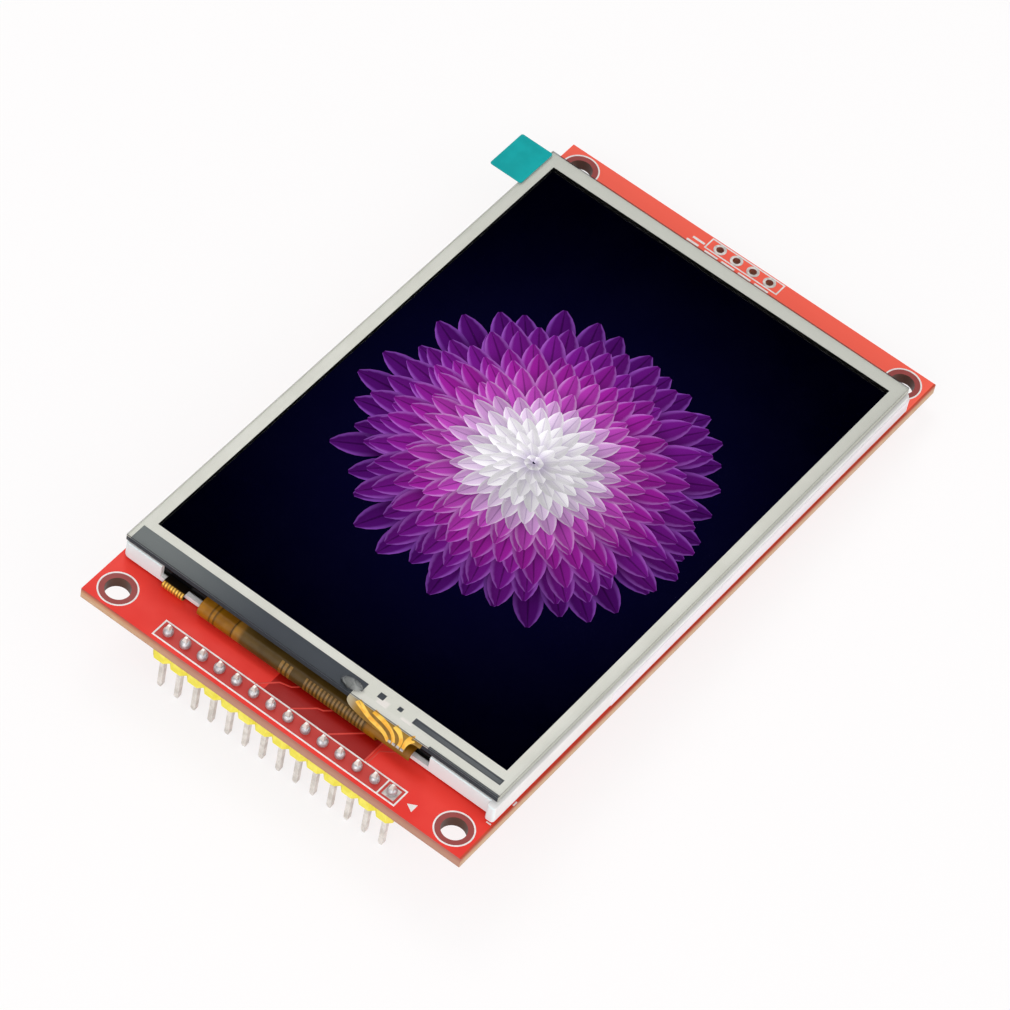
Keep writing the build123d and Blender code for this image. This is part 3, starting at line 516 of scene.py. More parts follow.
class Look(Enum):
    """Every finish of the module, by what it is made of."""

    # red solder mask: a glossy lacquer that pools over copper, so it looks wet and slightly wavy
    MASK = SolderMask("red_solder_mask", "#F0392D", "#EA3127", 0.42, patch=9.0, grain=0.9, depth=0.003)
    # the same lacquer where it climbs over a track: stretched thinner, and painted lighter as a highlight of the
    # track's lit edges
    RAISED_MASK = Finish("mask_over_track", "#E2463A", "#D83A2E", 0.36, patch=2.0, grain=0.4, depth=0.003, shine=0.4)
    # screen-printed epoxy ink: flat white with a slightly ragged thickness
    INK = Finish("white_print_ink", "#F8F4F2", "#EEE6E4", 0.62, patch=0.6, grain=0.12, depth=0.006)
    # hot-dipped tin: bright, slightly grey and lumpy
    TIN = Finish("tinned_copper", "#C4C0BC", "#A6A29E", 0.42, 0.7, patch=0.5, grain=0.25, depth=0.01)
    # tin under dried flux: dull and brownish
    DULL_TIN = Finish("fluxed_tin", "#CFC8C4", "#B7B0AD", 0.55, 0.2, patch=0.5, grain=0.2, depth=0.012)
    # reflowed solder: frosted bright grey
    SOLDER = Finish("solder_joint", "#C9C7C9", "#A3A1A4", 0.4, 0.55, patch=0.4, grain=0.3, depth=0.015)
    # drawn brass wire under tin: long fine lines
    PIN = Brushed("tin_plated_wire", "#E6E2DC", "#CFCAC3", 0.42, 0.5, patch=1.2, depth=0.002, lines=(30.0, 30.0, 1.0))
    # glass-filled nylon: soft satin with a dry grain
    YELLOW = Finish("yellow_nylon", "#F3EA66", "#EADF50", 0.55, patch=1.4, grain=0.12, depth=0.006)
    # moulded white polycarbonate: bright, slightly milky, with the tool's fine matt; the wall toward the header is
    # painted cooler, as a painted counter to the red light that the board throws on it
    WHITE = Finish(
        "white_polycarbonate", "#F6F5F4", "#F1F0EF", 0.42, patch=5.0, grain=0.15, depth=0.003,
        tints=(("facing", -0.4, -0.7, "#E4F0F1"),),
    )
    # thin film wrapped over the frame's side: white with a lilac cast
    WRAP = Finish("side_wrap_film", "#F5F0F5", "#F0EAF0", 0.38, patch=6.0, grain=0.5, depth=0.003)
    # polyimide over copper: amber to olive gloss
    FLEX = Banded("amber_polyimide", "#8A5A10", "#B49A72", 0.34, patch=1.1, grain=0.4, bands=FLEX_BANDS)
    # the lamps' strip: gold-brown film, painted near-black as painted shade where it dips into the dark of the frame
    LAMP_FLEX = Finish(
        "lamp_strip_polyimide", "#A4762E", "#8A5E1E", 0.36, patch=0.8, grain=0.3,
        tints=(("y", -41.25, -40.9, "#120D08"),),
    )
    # copper tracks seen through polyimide: warmer and lighter than the film round them
    TRACK = Finish("covered_copper_track", "#86611E", "#704E16", 0.34, patch=0.5, grain=0.2, shine=0.5)
    # bare gold-flashed copper: yellow mirror with small wipes
    GOLD = Finish("gold_flash", "#F0C258", "#DDA63A", 0.34, 0.6, patch=0.4, grain=0.15)
    # silver ink of the touch flex under yellowed clear film: opaque warm yellow, half gloss
    YELLOW_TRACK = Finish("yellow_covered_track", "#FFD056", "#F2AE2C", 0.36, patch=0.9, grain=0.3, shine=0.4)
    # clear polyester flex: milky straw film
    STRAW = FlexTail("straw_polyester", "#A9812F", "#8C6620", 0.34, patch=1.2, depth=0.0, alpha=0.86, shine=0.3)
    # slate adhesive film over the glass ledge: dull, slightly wavy
    SLATE = Finish("slate_film", "#50545B", "#494C52", 0.5, patch=3.5, grain=0.6)
    # pale grey print on the touch film: flat, even, faintly green and greyer toward the far end, with paler pads
    # where the touch flex is bonded, and a slot that lets the slate film show
    PRINT = Finish(
        "grey_border_print", "#E3E3DA", "#DDDDD3", 0.55, patch=7.0, grain=0.2, depth=0.002,
        tints=(("y", 4.0, 42.0, "#CCCDC4"),),
        zones=(
            ((9.3, -39.6), (0.75, 0.9), 0.2, "#EFEAE4"), ((12.9, -39.9), (0.8, 0.7), 0.2, "#EFEAE4"),
            ((15.4, -40.2), (0.6, 0.6), 0.2, "#EFEAE4"), ((19.85, -38.68), (6.4, 0.46), 0.04, "#4B4E53"),
        ),
    )
    # ground float glass: clear over the screen, with a pale cut edge and the slate film behind its ledge
    GLASS = BackedGlass("touch_glass", "#C2C4BA", "#050506", 0.1, depth=0.0, alpha=0.004, side_alpha=0.9, shine=0.0)
    # hard-coated polyester: nothing to see but a grey cut edge
    FILM = Clear("clear_polyester", "#8E9086", "#050506", 0.12, depth=0.0, alpha=0.008, side_alpha=0.7, shine=0.0)
    # display glass with a black border printed inside: deep black under a faint gloss
    CELL = Finish("black_bordered_cell", "#0A0B0E", "#07080A", 0.2, grain=0.8, depth=0.0005, shine=0.1)
    # dyed polariser over the lit picture: near-black ground, and petals that shine with no gloss of their own
    SCREEN = Dark("screen_ground", "#010104", "#000002", 0.3, patch=6.0, depth=0.0, shine=0.0)
    PICTURE = Lit("lit_picture", "#020206", "#010104", 0.4, depth=0.0, shine=0.0)
    # dyed polyester pull tab: flat teal with a weak gloss
    TEAL = Finish("teal_tab_film", "#05ABAD", "#03A1A3", 0.42, patch=2.6, grain=0.4, shine=0.1)
    # rolled stainless steel: grey mirror broken up by fine lines
    STEEL = Brushed("stainless_sheet", "#C9CBCE", "#B4B6BA", 0.3, 1.0, patch=4.0, grain=0.2, lines=(30.0, 1.0, 30.0))
    # liquid crystal polymer, black, slightly chalky
    BLACK = Finish("black_moulding", "#17181A", "#101113", 0.48, patch=1.2, depth=0.006)
    # black foam tape: open cells on its cut sides
    FOAM = Finish("black_foam_tape", "#141414", "#0C0C0C", 0.9, patch=1.0, grain=0.12, depth=0.03)
    # frosted polyester sheets inside the backlight: white and matt, and cast acrylic: clear with a bluish edge
    SHEET = Finish("frosted_sheet", "#E4E6E6", "#D6D9DA", 0.6, patch=2.0, grain=0.1)
    GUIDE = Clear("clear_acrylic", "#C9D2D2", "#20282A", 0.15, alpha=0.15, side_alpha=0.6)
    # lamp packages: white with warm phosphor
    LAMP = Finish("lamp_phosphor", "#F2E9B8", "#E6D88C", 0.4, patch=0.5, grain=0.1)
    # fired ceramic: black under a glaze on the resistors, bare tan on the capacitors
    RESISTOR = Finish("glazed_resistor", "#15161A", "#0E0F12", 0.3, patch=0.7, grain=0.1, shine=0.5)
    CAPACITOR = Finish("fired_capacitor", "#8C6845", "#775538", 0.45, patch=0.5, grain=0.1)
    # cured silicone: milky and soft
    GLUE = Drop("milky_silicone", "#D4D6D3", "#CFD2D0", 0.6, patch=2.0, depth=0.0, shine=0.05)


NODE_LOOKS = {
    Look.MASK: ("circuit_board",),
    Look.INK: ("white_ink",),
    Look.DULL_TIN: ("first_pin_pad",),
    Look.TIN: ("card_header_pads", "touch_controller_leads", "regulator_leads",
               "backlight_transistor_leads", "chip_end_caps"),
    Look.SOLDER: ("header_solder", "flex_solder_joints", "touch_flex_solder"),
    Look.PIN: ("header_pins",),
    Look.YELLOW: ("header_body",),
    Look.WHITE: ("backlight_frame",),
    Look.FLEX: ("main_flex",),
    Look.LAMP_FLEX: ("lamp_strip_flex",),
    Look.STRAW: ("touch_flex",),
    Look.SLATE: ("ledge_tape",),
    Look.PRINT: ("touch_spacer",),
    Look.GLASS: ("touch_glass",),
    Look.FILM: ("touch_film", "protective_film"),
    Look.CELL: ("array_glass", "colour_filter_glass", "rear_polariser", "display_driver_chip", "rim_tape"),
    Look.SCREEN: ("front_polariser",),
    Look.TEAL: ("pull_tab",),
    Look.STEEL: ("card_socket_shell",),
    Look.BLACK: ("card_socket_base", "touch_controller", "regulator", "backlight_transistor"),
    Look.FOAM: ("mounting_tapes", "panel_adhesive"),
    Look.SHEET: ("reflector_sheet", "diffuser_sheet", "lower_prism_sheet", "upper_prism_sheet"),
    Look.GUIDE: ("light_guide",),
    Look.LAMP: ("backlight_lamps",),
    Look.GOLD: ("card_contacts",),
    Look.RESISTOR: ("chip_resistors",),
    Look.CAPACITOR: ("chip_capacitors",),
}

_made: dict[Look, bpy.types.Material] = {}


def material_of(look: Look) -> bpy.types.Material:
    """Return a finish's material, made once."""
    if look not in _made:
        _made[look] = look.value.make()
    return _made[look]


# ---- bench ----


def deselect() -> None:
    """Deselect every object, so that an operator acts on the new one alone."""
    bpy.ops.object.select_all(action="DESELECT")


def apply_place() -> None:
    """Work the place, turn and scale of the selected object into its mesh."""
    bpy.ops.object.transform_apply(location=True, rotation=True, scale=True)


@contextmanager
def editing() -> Iterator[None]:
    """Edit the active mesh, which starts with all of it selected."""
    bpy.ops.object.mode_set(mode="EDIT")
    bpy.ops.mesh.select_all(action="SELECT")
    yield
    bpy.ops.object.mode_set(mode="OBJECT")


def turn_outward() -> None:
    """In edit mode, turn every face outward."""
    bpy.ops.mesh.select_all(action="SELECT")
    bpy.ops.mesh.normals_make_consistent(inside=False)


def chosen(test: Callable[[bmesh.types.BMVert], bool]) -> None:
    """In edit mode, select the vertices that pass a test, and what they make up.

    Args:
        test: says whether a vertex is wanted.
    """
    mesh = bmesh.from_edit_mesh(bpy.context.edit_object.data)
    bpy.ops.mesh.select_all(action="DESELECT")
    for vertex in mesh.verts:
        vertex.select = test(vertex)
    mesh.select_flush(True)
    bmesh.update_edit_mesh(bpy.context.edit_object.data)


def settle(obj: bpy.types.Object, name: str, look: Look, angle: float = 35.0) -> bpy.types.Object:
    """Finish a piece: apply its place, name it, dress it and let it ride on the body.

    Args:
        obj: the piece.
        name: its name.
        look: its finish.
        angle: edges flatter than this are shaded smooth, in degrees.

    Returns:
        The same object.
    """
    deselect()
    obj.select_set(True)
    bpy.context.view_layer.objects.active = obj
    apply_place()
    bpy.ops.object.shade_smooth_by_angle(angle=math.radians(angle))
    obj.name = name
    obj.data.name = name
    obj.data.materials.clear()
    obj.data.materials.append(material_of(look))
    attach(obj, "root")
    log.info("%s: %d faces", name, len(obj.data.polygons))
    return obj


def slab(low: Point, high: Point, bevel: float = 0.0) -> bpy.types.Object:
    """Add a box between two corners in millimetres, its edges bevelled."""
    deselect()
    centre = (mm(*low) + mm(*high)) / 2
    bpy.ops.mesh.primitive_cube_add(size=1, location=centre, scale=mm(*high) - mm(*low))
    apply_place()
    if bevel:
        with editing():
            bpy.ops.mesh.bevel(offset=bevel * MM, segments=2)
    return bpy.context.object


def join(parts: Sequence[bpy.types.Object]) -> bpy.types.Object:
    """Join several objects into the first and return it."""
    deselect()
    for part in parts:
        part.select_set(True)
    bpy.context.view_layer.objects.active = parts[0]
    bpy.ops.object.join()
    return parts[0]


def copies(model: bpy.types.Object, places: Iterable[Matrix]) -> bpy.types.Object:
    """Copy a piece to each place, each copy with its own mesh, and join them.

    Args:
        model: the piece modelled once at the origin; it is used up.
        places: a matrix for each copy.

    Returns:
        One object with all copies.
    """
    made = []
    for place in places:
        twin = bpy.data.objects.new(model.name, model.data.copy())
        bpy.context.collection.objects.link(twin)
        twin.data.transform(place)
        made.append(twin)
    bpy.data.objects.remove(model)
    return join(made)


def ridges(
    lines: Sequence[Sequence[Flat]], width: float, height: float, level: float = 0.0,
    end_share: float = 1.0, rounded: bool = False,
) -> bpy.types.Object:
    """Lay raised lines along runs of points, as drawn curves with a round section pressed flat.

    Args:
        lines: for each line, its points in millimetres.
        width: the lines' width in millimetres.
        height: how far they stand up, in millimetres.
        level: height of the face that they lie on, in millimetres.
        end_share: width at the end of a line, as a share of the width at its start.
        rounded: whether the line runs smoothly past its points.

    Returns:
        The lines as one mesh.
    """
    deselect()
    bpy.ops.curve.primitive_nurbs_path_add(radius=MM)
    obj = bpy.context.object
    curve = obj.data
    curve.splines.clear()
    for line in lines:
        spline = curve.splines.new("NURBS" if rounded else "POLY")
        spline.points.add(len(line) - 1)
        for index, place in enumerate(line):
            spline.points[index].co = (*mm(*place, 0), 1)
            spline.points[index].radius = 1 + (end_share - 1) * index / (len(line) - 1)
        if rounded:
            spline.order_u = 3
            spline.use_endpoint_u = True
            spline.resolution_u = 8
    curve.bevel_depth = width / 2 * MM
    curve.bevel_resolution = 1
    curve.use_fill_caps = True
    bpy.ops.object.convert(target="MESH")
    obj = bpy.context.object
    obj.scale = (1, 1, 2 * height / width)
    obj.location = mm(0, 0, level)
    apply_place()
    return obj


def in_row(places: Iterable[float], y: float, z: float) -> list[Matrix]:
    """Return a shift for each place across the board, all at one y and z, in millimetres."""
    return [Matrix.Translation(mm(x, y, z)) for x in places]


# ---- sub-assemblies ----


@dataclass
class Board:
    """What lies on the bare board: copper relief, printed marks and vias."""

    top: float = Level.BOARD_TOP.value
    relief: float = 0.035
    front_width: float = 0.24
    rear_width: float = 0.3
    front_tracks: tuple = (
        ((-4.6, -44.7), (-2.6, -42.6), (-1.2, -42.2), (3.0, -38.0)),
        ((0.6, -44.7), (2.9, -42.5), (3.6, -42.3), (8.0, -38.0)),
        ((6.0, -44.6), (8.8, -41.8), (12.0, -38.6)),
        ((11.45, -44.7), (11.45, -42.4), (11.45, -38.0)),
        ((11.9, -44.7), (11.9, -42.4), (13.0, -41.5), (16.5, -38.0)),
    )
    via_places: tuple = (
        (-20.0, -43.5), (20.4, -42.6), (-23.5, -38.0), (-12.0, -26.0), (-4.0, -24.0), (8.0, -24.0), (2.0, -5.0),
        (-9.0, -2.0), (17.0, 1.5), (-19.5, 12.0), (20.6, 22.0), (-20.5, 34.0), (9.5, 44.0), (-12.0, 44.6),
        (-13.0, -22.0), (18.0, -25.0), (-2.0, -19.0), (23.5, -4.0), (-24.0, -12.0), (6.5, -19.5),
    )
    supply_tracks: tuple = (
        ((-4.21, 46.75), (-8.0, 43.0), (-22.0, 43.0), (-22.0, 8.0), (-17.0, 3.0), (-17.0, -28.0)),
        ((3.41, 46.75), (7.2, 43.0), (22.0, 43.0), (22.0, 6.0), (20.0, 4.0), (20.0, -10.0)),
    )
    via_ring: float = 0.27
    via_rise: float = 0.07
    ink: float = 0.03
    bar_width: float = 0.22
    label_width: float = 0.34
    block_bevel: float = 0.01
    mark: Flat = (19.45, ROW_Y)
    mark_radius: float = 0.72
    ink_bars: tuple = (
        ((26.95, -41.75), (27.6, -41.75)), ((27.85, -37.9), (27.85, -37.2)),
    )
    header_bars: tuple = (
        ((-8.4, 45.4), (-6.6, 45.4)), ((-5.6, 45.3), (-3.6, 45.3)), ((-3.0, 45.3), (-1.0, 45.3)),
        ((-0.4, 45.3), (1.5, 45.3)), ((2.1, 45.3), (4.2, 45.3)),
        ((-8.4, 44.9), (-6.9, 44.9)), ((-5.6, 44.8), (4.2, 44.8)), ((-8.0, 46.2), (-6.2, 46.2)),
    )
    header_block: tuple = (
        ((-6.0, 47.55), (5.2, 47.75)), ((-6.0, 45.9), (-5.8, 47.55)), ((5.0, 45.9), (5.2, 47.55)),
        ((-6.0, 45.7), (5.2, 45.9)),
    )
    rear_ink: float = 0.02
    rear_ring: float = 2.4
    ring_width: float = 0.2
    ring_steps: int = 40
    box_width: float = 0.16
    rear_boxes: tuple = (
        ((0.0, -46.0), (17.9, 1.4)), ((13.5, -14.0), (3.4, 3.8)), ((-16.0, -37.0), (2.0, 1.9)),
        ((16.0, -37.0), (2.0, 1.9)), ((0.0, 26.75), (15.4, 14.3)), ((5.45, -14.0), (4.0, 1.3)),
        ((0.0, 7.2), (5.9, 1.3)), ((13.5, -8.0), (3.0, 1.3)), ((-16.0, -32.6), (3.2, 1.3)),
        ((12.0, -37.0), (0.8, 1.3)),
    )

    def build(self) -> None:
        """Make every piece of the board."""
        copper = ridges(self.front_tracks, self.front_width, self.relief, self.top)
        settle(copper, "front_tracks", Look.RAISED_MASK)
        for name, bars, width in (
            ("printed_marks", self.ink_bars, self.bar_width), ("card_header_marks", self.header_bars, self.label_width),
        ):
            settle(ridges(bars, width, self.ink, self.top), name, Look.INK)
        self.pin_mark()
        inked, bevel = self.top + self.ink, self.block_bevel
        block = [slab((*low, self.top), (*high, inked), bevel) for low, high in self.header_block]
        settle(join(block), "card_header_ink", Look.INK)
        tracks = [*self.header_tracks(), *self.contact_tracks(), *self.chip_tracks(), *self.supply_tracks]
        settle(ridges(tracks, self.rear_width, self.relief), "rear_tracks", Look.RAISED_MASK)
        self.outlines()
        self.vias([*self.via_places, *(track[-1] for track in tracks)])

    def pin_mark(self) -> None:
        """Print a plain triangle that points at the first pin."""
        deselect()
        bpy.ops.mesh.primitive_circle_add(
            vertices=3, radius=self.mark_radius * MM, fill_type="NGON", location=mm(*self.mark, self.top),
            rotation=(0, 0, math.pi / 2),
        )
        with editing():
            bpy.ops.mesh.extrude_region_move(TRANSFORM_OT_translate={"value": mm(0, 0, self.ink)})
            turn_outward()
        settle(bpy.context.object, "first_pin_mark", Look.INK)

    def header_tracks(self) -> Iterable[Sequence[Flat]]:
        """Yield a rear track for each header pin, which draws in and runs up the board in a pair with the next."""
        start, end, first, stagger, gather, apart = -45.2, -30.0, 2.0, 0.55, 0.62, 1.2
        for index, x in enumerate(PIN_X):
            target = x * gather + (apart if index % 2 else -apart)
            knee = start + first + stagger * (index % 5)
            yield (x, start), (x, knee), (target, knee + abs(target - x)), (target, end)

    def contact_tracks(self) -> Iterable[Sequence[Flat]]:
        """Yield a rear track for each contact of the card socket, drawing in toward the board's middle."""
        start, end, first, stagger, gather = 11.5, 0.5, 9.6, 0.2, 0.8
        for index, x in enumerate(CONTACT_X):
            target, knee = x * gather, first - stagger * index
            yield (x, start), (x, knee), (target, knee - abs(x - target)), (target, end)

    def chip_tracks(self) -> Iterable[Sequence[Flat]]:
        """Yield four rear tracks from the touch controller's leads toward the main flex."""
        x, target, start, knee, end, stagger = 10.6, 4.0, -18.0, -21.0, -27.6, 0.6
        for index in range(4):
            shift, drop = LEAD_PITCH * index, stagger * index
            yield (x + shift, start), (x + shift, knee - drop), (target + shift, end - drop)

    def outlines(self) -> None:
        """Print plain outlines round the rear parts and the header, and rings round the mounting holes."""
        lines = []
        for (x, y), (a, b) in self.rear_boxes:
            lines.append([(x - a, y - b), (x + a, y - b), (x + a, y + b), (x - a, y + b), (x - a, y - b)])
        settle(ridges(lines, self.box_width, self.rear_ink), "rear_outlines", Look.INK)
        turns = [math.tau * step / self.ring_steps for step in range(self.ring_steps + 1)]
        round_hole = [(self.rear_ring * math.cos(turn), self.rear_ring * math.sin(turn)) for turn in turns]
        rings = [
            [(side * HOLE[0] + x, end * HOLE[1] + y) for x, y in round_hole] for side in SIDES for end in SIDES
        ]
        settle(ridges(rings, self.ring_width, self.rear_ink), "rear_hole_rings", Look.INK)

    def vias(self, places: Sequence[Flat]) -> None:
        """Dot the rear face with tented vias: small raised rings under the mask, one at each place."""
        deselect()
        bpy.ops.mesh.primitive_torus_add(
            major_radius=self.via_ring * MM, minor_radius=self.via_rise * MM, major_segments=14, minor_segments=6
        )
        with editing():
            bpy.ops.mesh.bisect(plane_co=(0, 0, 0), plane_no=(0, 0, 1), clear_outer=True, use_fill=True)
        rings = copies(bpy.context.object, [Matrix.Translation(mm(*place, 0)) for place in places])
        settle(rings, "tented_vias", Look.MASK)


@dataclass
class PinHeader:
    """Solder on the fourteen header pins."""

    first_lift: float = 0.04
    sizes: Flat = (0.93, 1.06)
    nods: Flat = (-0.06, 0.06)
    leans: Flat = (-0.05, 0.05)
    lengths: Flat = (0.96, 1.08)
    heights: Flat = (0.9, 1.08)
    seed: int = 7
    profile: tuple = ((0.62, 0.0), (0.65, 0.14), (0.66, 0.36), (0.62, 0.58), (0.52, 0.76), (0.40, 0.88), (0.30, 0.94))

    def build(self) -> None:
        """Make the joints from one modelled blob, each turned and sized a little differently."""
        deselect()
        radius, level = self.profile[0]
        bpy.ops.mesh.primitive_circle_add(
            vertices=18, radius=radius * MM, fill_type="NGON", location=mm(0, 0, level)
        )
        blob = bpy.context.object
        with editing():
            for next_radius, next_level in self.profile[1:]:
                bpy.ops.mesh.extrude_region_move(TRANSFORM_OT_translate={"value": mm(0, 0, next_level - level)})
                share = next_radius / radius
                bpy.ops.transform.resize(value=(share, share, 1), center_override=mm(0, 0, next_level))
                radius, level = next_radius, next_level
            turn_outward()
        chance = random.Random(self.seed)
        places = []
        for index, x in enumerate(PIN_X):
            size = chance.uniform(*self.sizes)
            nod = Matrix.Rotation(chance.uniform(*self.nods), 4, "X")
            lean = Matrix.Rotation(chance.uniform(*self.leans), 4, "Y")
            swell = Matrix.Diagonal((size, size * chance.uniform(*self.lengths), chance.uniform(*self.heights), 1))
            level = Level.BOARD_TOP.value + (0 if index else self.first_lift)
            places.append(Matrix.Translation(mm(x, ROW_Y, level)) @ nod @ lean @ swell)
        piece = settle(copies(blob, places), "header_joints", Look.SOLDER, 60.0)
        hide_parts("header_solder")


@dataclass
class Screen:
    """The lit picture: a rosette of simple petals on a near-black ground."""

    centre: Flat = (0.4, 1.6)
    radius: float = 23.4
    rings: int = 13
    seed: int = 3
    heart: float = 1.2
    narrowest: float = 1.15
    broadening: float = 2.5
    shortest: float = 3.0
    lengthening: float = 6.4
    ring_lift: float = 0.004
    petal_lift: float = 0.00006
    width_shares: tuple = (0.16, 0.34, 0.56, 0.76, 0.92, 1.0, 0.98, 0.84, 0.58, 0.14)

    def petal(self) -> bpy.types.Object:
        """Model one petal of unit length, each row of a grid drawn in to its width; the grid's map stays."""
        deselect()
        rows = len(self.width_shares) - 1
        bpy.ops.mesh.primitive_grid_add(
            x_subdivisions=4, y_subdivisions=rows, size=1, location=(0, 0.5, 0), calc_uvs=True
        )
        apply_place()
        with editing():
            for row, share in enumerate(self.width_shares):
                chosen(lambda vertex, level=row / rows: abs(vertex.co.y - level) < 0.01)
                bpy.ops.transform.resize(value=(share, 1, 1), center_override=(0, row / rows, 0))
        return bpy.context.object

    def build(self) -> None:
        """Lay the rings from the outside in, each over the one before."""
        model = self.petal()
        chance = random.Random(self.seed)
        places, tones, chances = [], [], []
        level = Level.PICTURE.value + self.ring_lift
        for ring in range(self.rings):
            share = ring / (self.rings - 1)
            tip = self.radius * (1 - share) ** 0.95 + self.heart * share
            width = self.narrowest + self.broadening * (1 - share) ** 0.8
            length = min(tip * 0.85, self.shortest + self.lengthening * (1 - share) ** 0.7)
            count = max(6, round(math.tau * tip / (width * 1.08)))
            tone = min(1.0, 1.3 * (1 - tip / self.radius))
            level += self.ring_lift
            for index in range(count):
                turn = math.tau * (index + 0.5 * (ring % 2)) / count + chance.uniform(-0.03, 0.03)
                grow = chance.uniform(0.92, 1.05)
                level += self.petal_lift
                place = (
                    Matrix.Translation(mm(*self.centre, level))
                    @ Matrix.Rotation(turn, 4, "Z")
                    @ Matrix.Translation(mm(0, tip * grow - length, 0))
                    @ Matrix.Diagonal((width * MM, length * MM, 1, 1))
                )
                places.append(place)
                tones.append(tone)
                bright = 0.5 + 0.5 * math.sin(turn + 0.6)
                chances.append(0.45 * chance.random() + 0.55 * bright)
        faces_each = len(model.data.polygons)
        piece = copies(model, places)
        for name, values in (("tone", tones), ("chance", chances)):
            attribute = piece.data.attributes.new(name, "FLOAT", "FACE")
            attribute.data.foreach_set("value", [value for value in values for _ in range(faces_each)])
        settle(piece, "screen_picture", Look.PICTURE)


@dataclass
class Flexes:
    """Copper seen on the folds of the three flexes."""

    fold_y: float = -40.95
    fold_z: float = Level.FOLD_MIDDLE.value
    fold_radius: float = 1.11
    rib_height: float = 0.02
    track_height: float = 0.03
    ribs: tuple = tuple(0.25 + 0.52 * index for index in range(17))
    lumps: tuple = (-3.35, -2.75, -2.1)
    strip_y: float = -41.0
    strip_radius: float = 0.525
    stripes: tuple = tuple(-21.12 + 0.39 * index for index in range(8))
    # width, start and turn of each kind of rib
    thin: Point = (0.27, 22, 150)
    thick: Point = (0.38, 18, 150)
    stripe: Point = (0.2, 10, 160)
    thick_share: float = 1.6
    stripe_height: float = 0.015
    end_y: float = -41.944
    end_z: float = 3.394
    lean: float = math.radians(25)
    knee: float = 1.807
    bend: float = 0.5
    bend_steps: int = 6
    tracks: tuple = (
        (((7.0, 2.3), (7.35, 2.1), (8.45, 1.62), (9.4, 1.25), (10.9, 1.0), (11.9, 0.62), (12.4, 0.12)), 0.8, 0.45),
        (((9.3, 2.35), (10.2, 2.2), (11.2, 1.95), (12.2, 1.6), (12.9, 0.95), (13.1, 0.2)), 0.66, 0.42),
        (((12.4, 2.35), (13.0, 2.15), (13.6, 1.7), (13.95, 1.0), (13.8, 0.3)), 0.7, 0.42),
        (((15.2, 2.35), (14.95, 2.2), (14.75, 1.9), (14.45, 1.3), (14.4, 0.4)), 1.15, 0.4),
    )

    def rib(self, width: float, start: float, turn: float, radius: float, height: float) -> bpy.types.Object:
        """Model one rib over a fold by spinning its cross-section about the fold's axis.

        Args:
            width: across the rib, in millimetres.
            start: angle from straight up at which it begins, in degrees.
            turn: angle that it covers, in degrees.
            radius: of the fold's outer face, in millimetres.
            height: of the rib over that face, in millimetres.

        Returns:
            The rib, with its middle at x = 0 and the fold's axis at the origin.
        """
        deselect()
        bpy.ops.mesh.primitive_plane_add(size=1, rotation=(math.pi / 2, 0, 0))
        rib = bpy.context.object
        rib.scale = (width * MM, height * 2 * MM, 1)
        rib.location = mm(0, 0, radius)
        apply_place()
        rib.rotation_euler.x = math.radians(start)
        apply_place()
        with editing():
            bpy.ops.mesh.spin(steps=18, angle=math.radians(turn), center=(0, 0, 0), axis=(-1, 0, 0))
            turn_outward()
        return rib

    def ribbon(self, points: Sequence[Flat], wide: float, narrow: float) -> bpy.types.Object:
        """Draw one track flat, fold it over the flex's bend, lean it and set it on the flex.

        Args:
            points: places across the board and up the flex from its end, in millimetres.
            wide: width at the first point, in millimetres.
            narrow: width at the last point, in millimetres.

        Returns:
            The track.
        """
        track = ridges([points], wide, self.track_height, 0.0, narrow / wide, True)
        turn = math.pi / 2 - self.lean
        with editing():
            for step in reversed(range(self.bend_steps)):
                line = (self.knee + self.bend * turn * (step + 0.5) / self.bend_steps) * MM
                chosen(lambda vertex, line=line: vertex.co.y > line)
                bpy.ops.transform.rotate(value=turn / self.bend_steps, orient_axis="X", center_override=(0, line, 0))
        track.rotation_euler.x = turn
        track.location = mm(0, self.end_y, self.end_z)
        apply_place()
        return track

    def build(self) -> None:
        """Make the ribs of the main flex, the lamp strip's gold stripes and the touch flex's tracks."""
        thin = self.rib(*self.thin, self.fold_radius, self.rib_height)
        thin = copies(thin, in_row(self.ribs, self.fold_y, self.fold_z))
        thick = self.rib(*self.thick, self.fold_radius, self.rib_height * self.thick_share)
        thick = copies(thick, in_row(self.lumps, self.fold_y, self.fold_z))
        settle(join([thin, thick]), "main_flex_ribs", Look.TRACK, 50.0)
        gold = self.rib(*self.stripe, self.strip_radius, self.stripe_height)
        gold = copies(gold, in_row(self.stripes, self.strip_y, Level.BOARD_TOP.value + self.strip_radius))
        settle(gold, "lamp_strip_stripes", Look.GOLD, 50.0)
        ribbons = [self.ribbon(*track) for track in self.tracks]
        settle(join(ribbons), "touch_flex_tracks", Look.YELLOW_TRACK, 60.0)


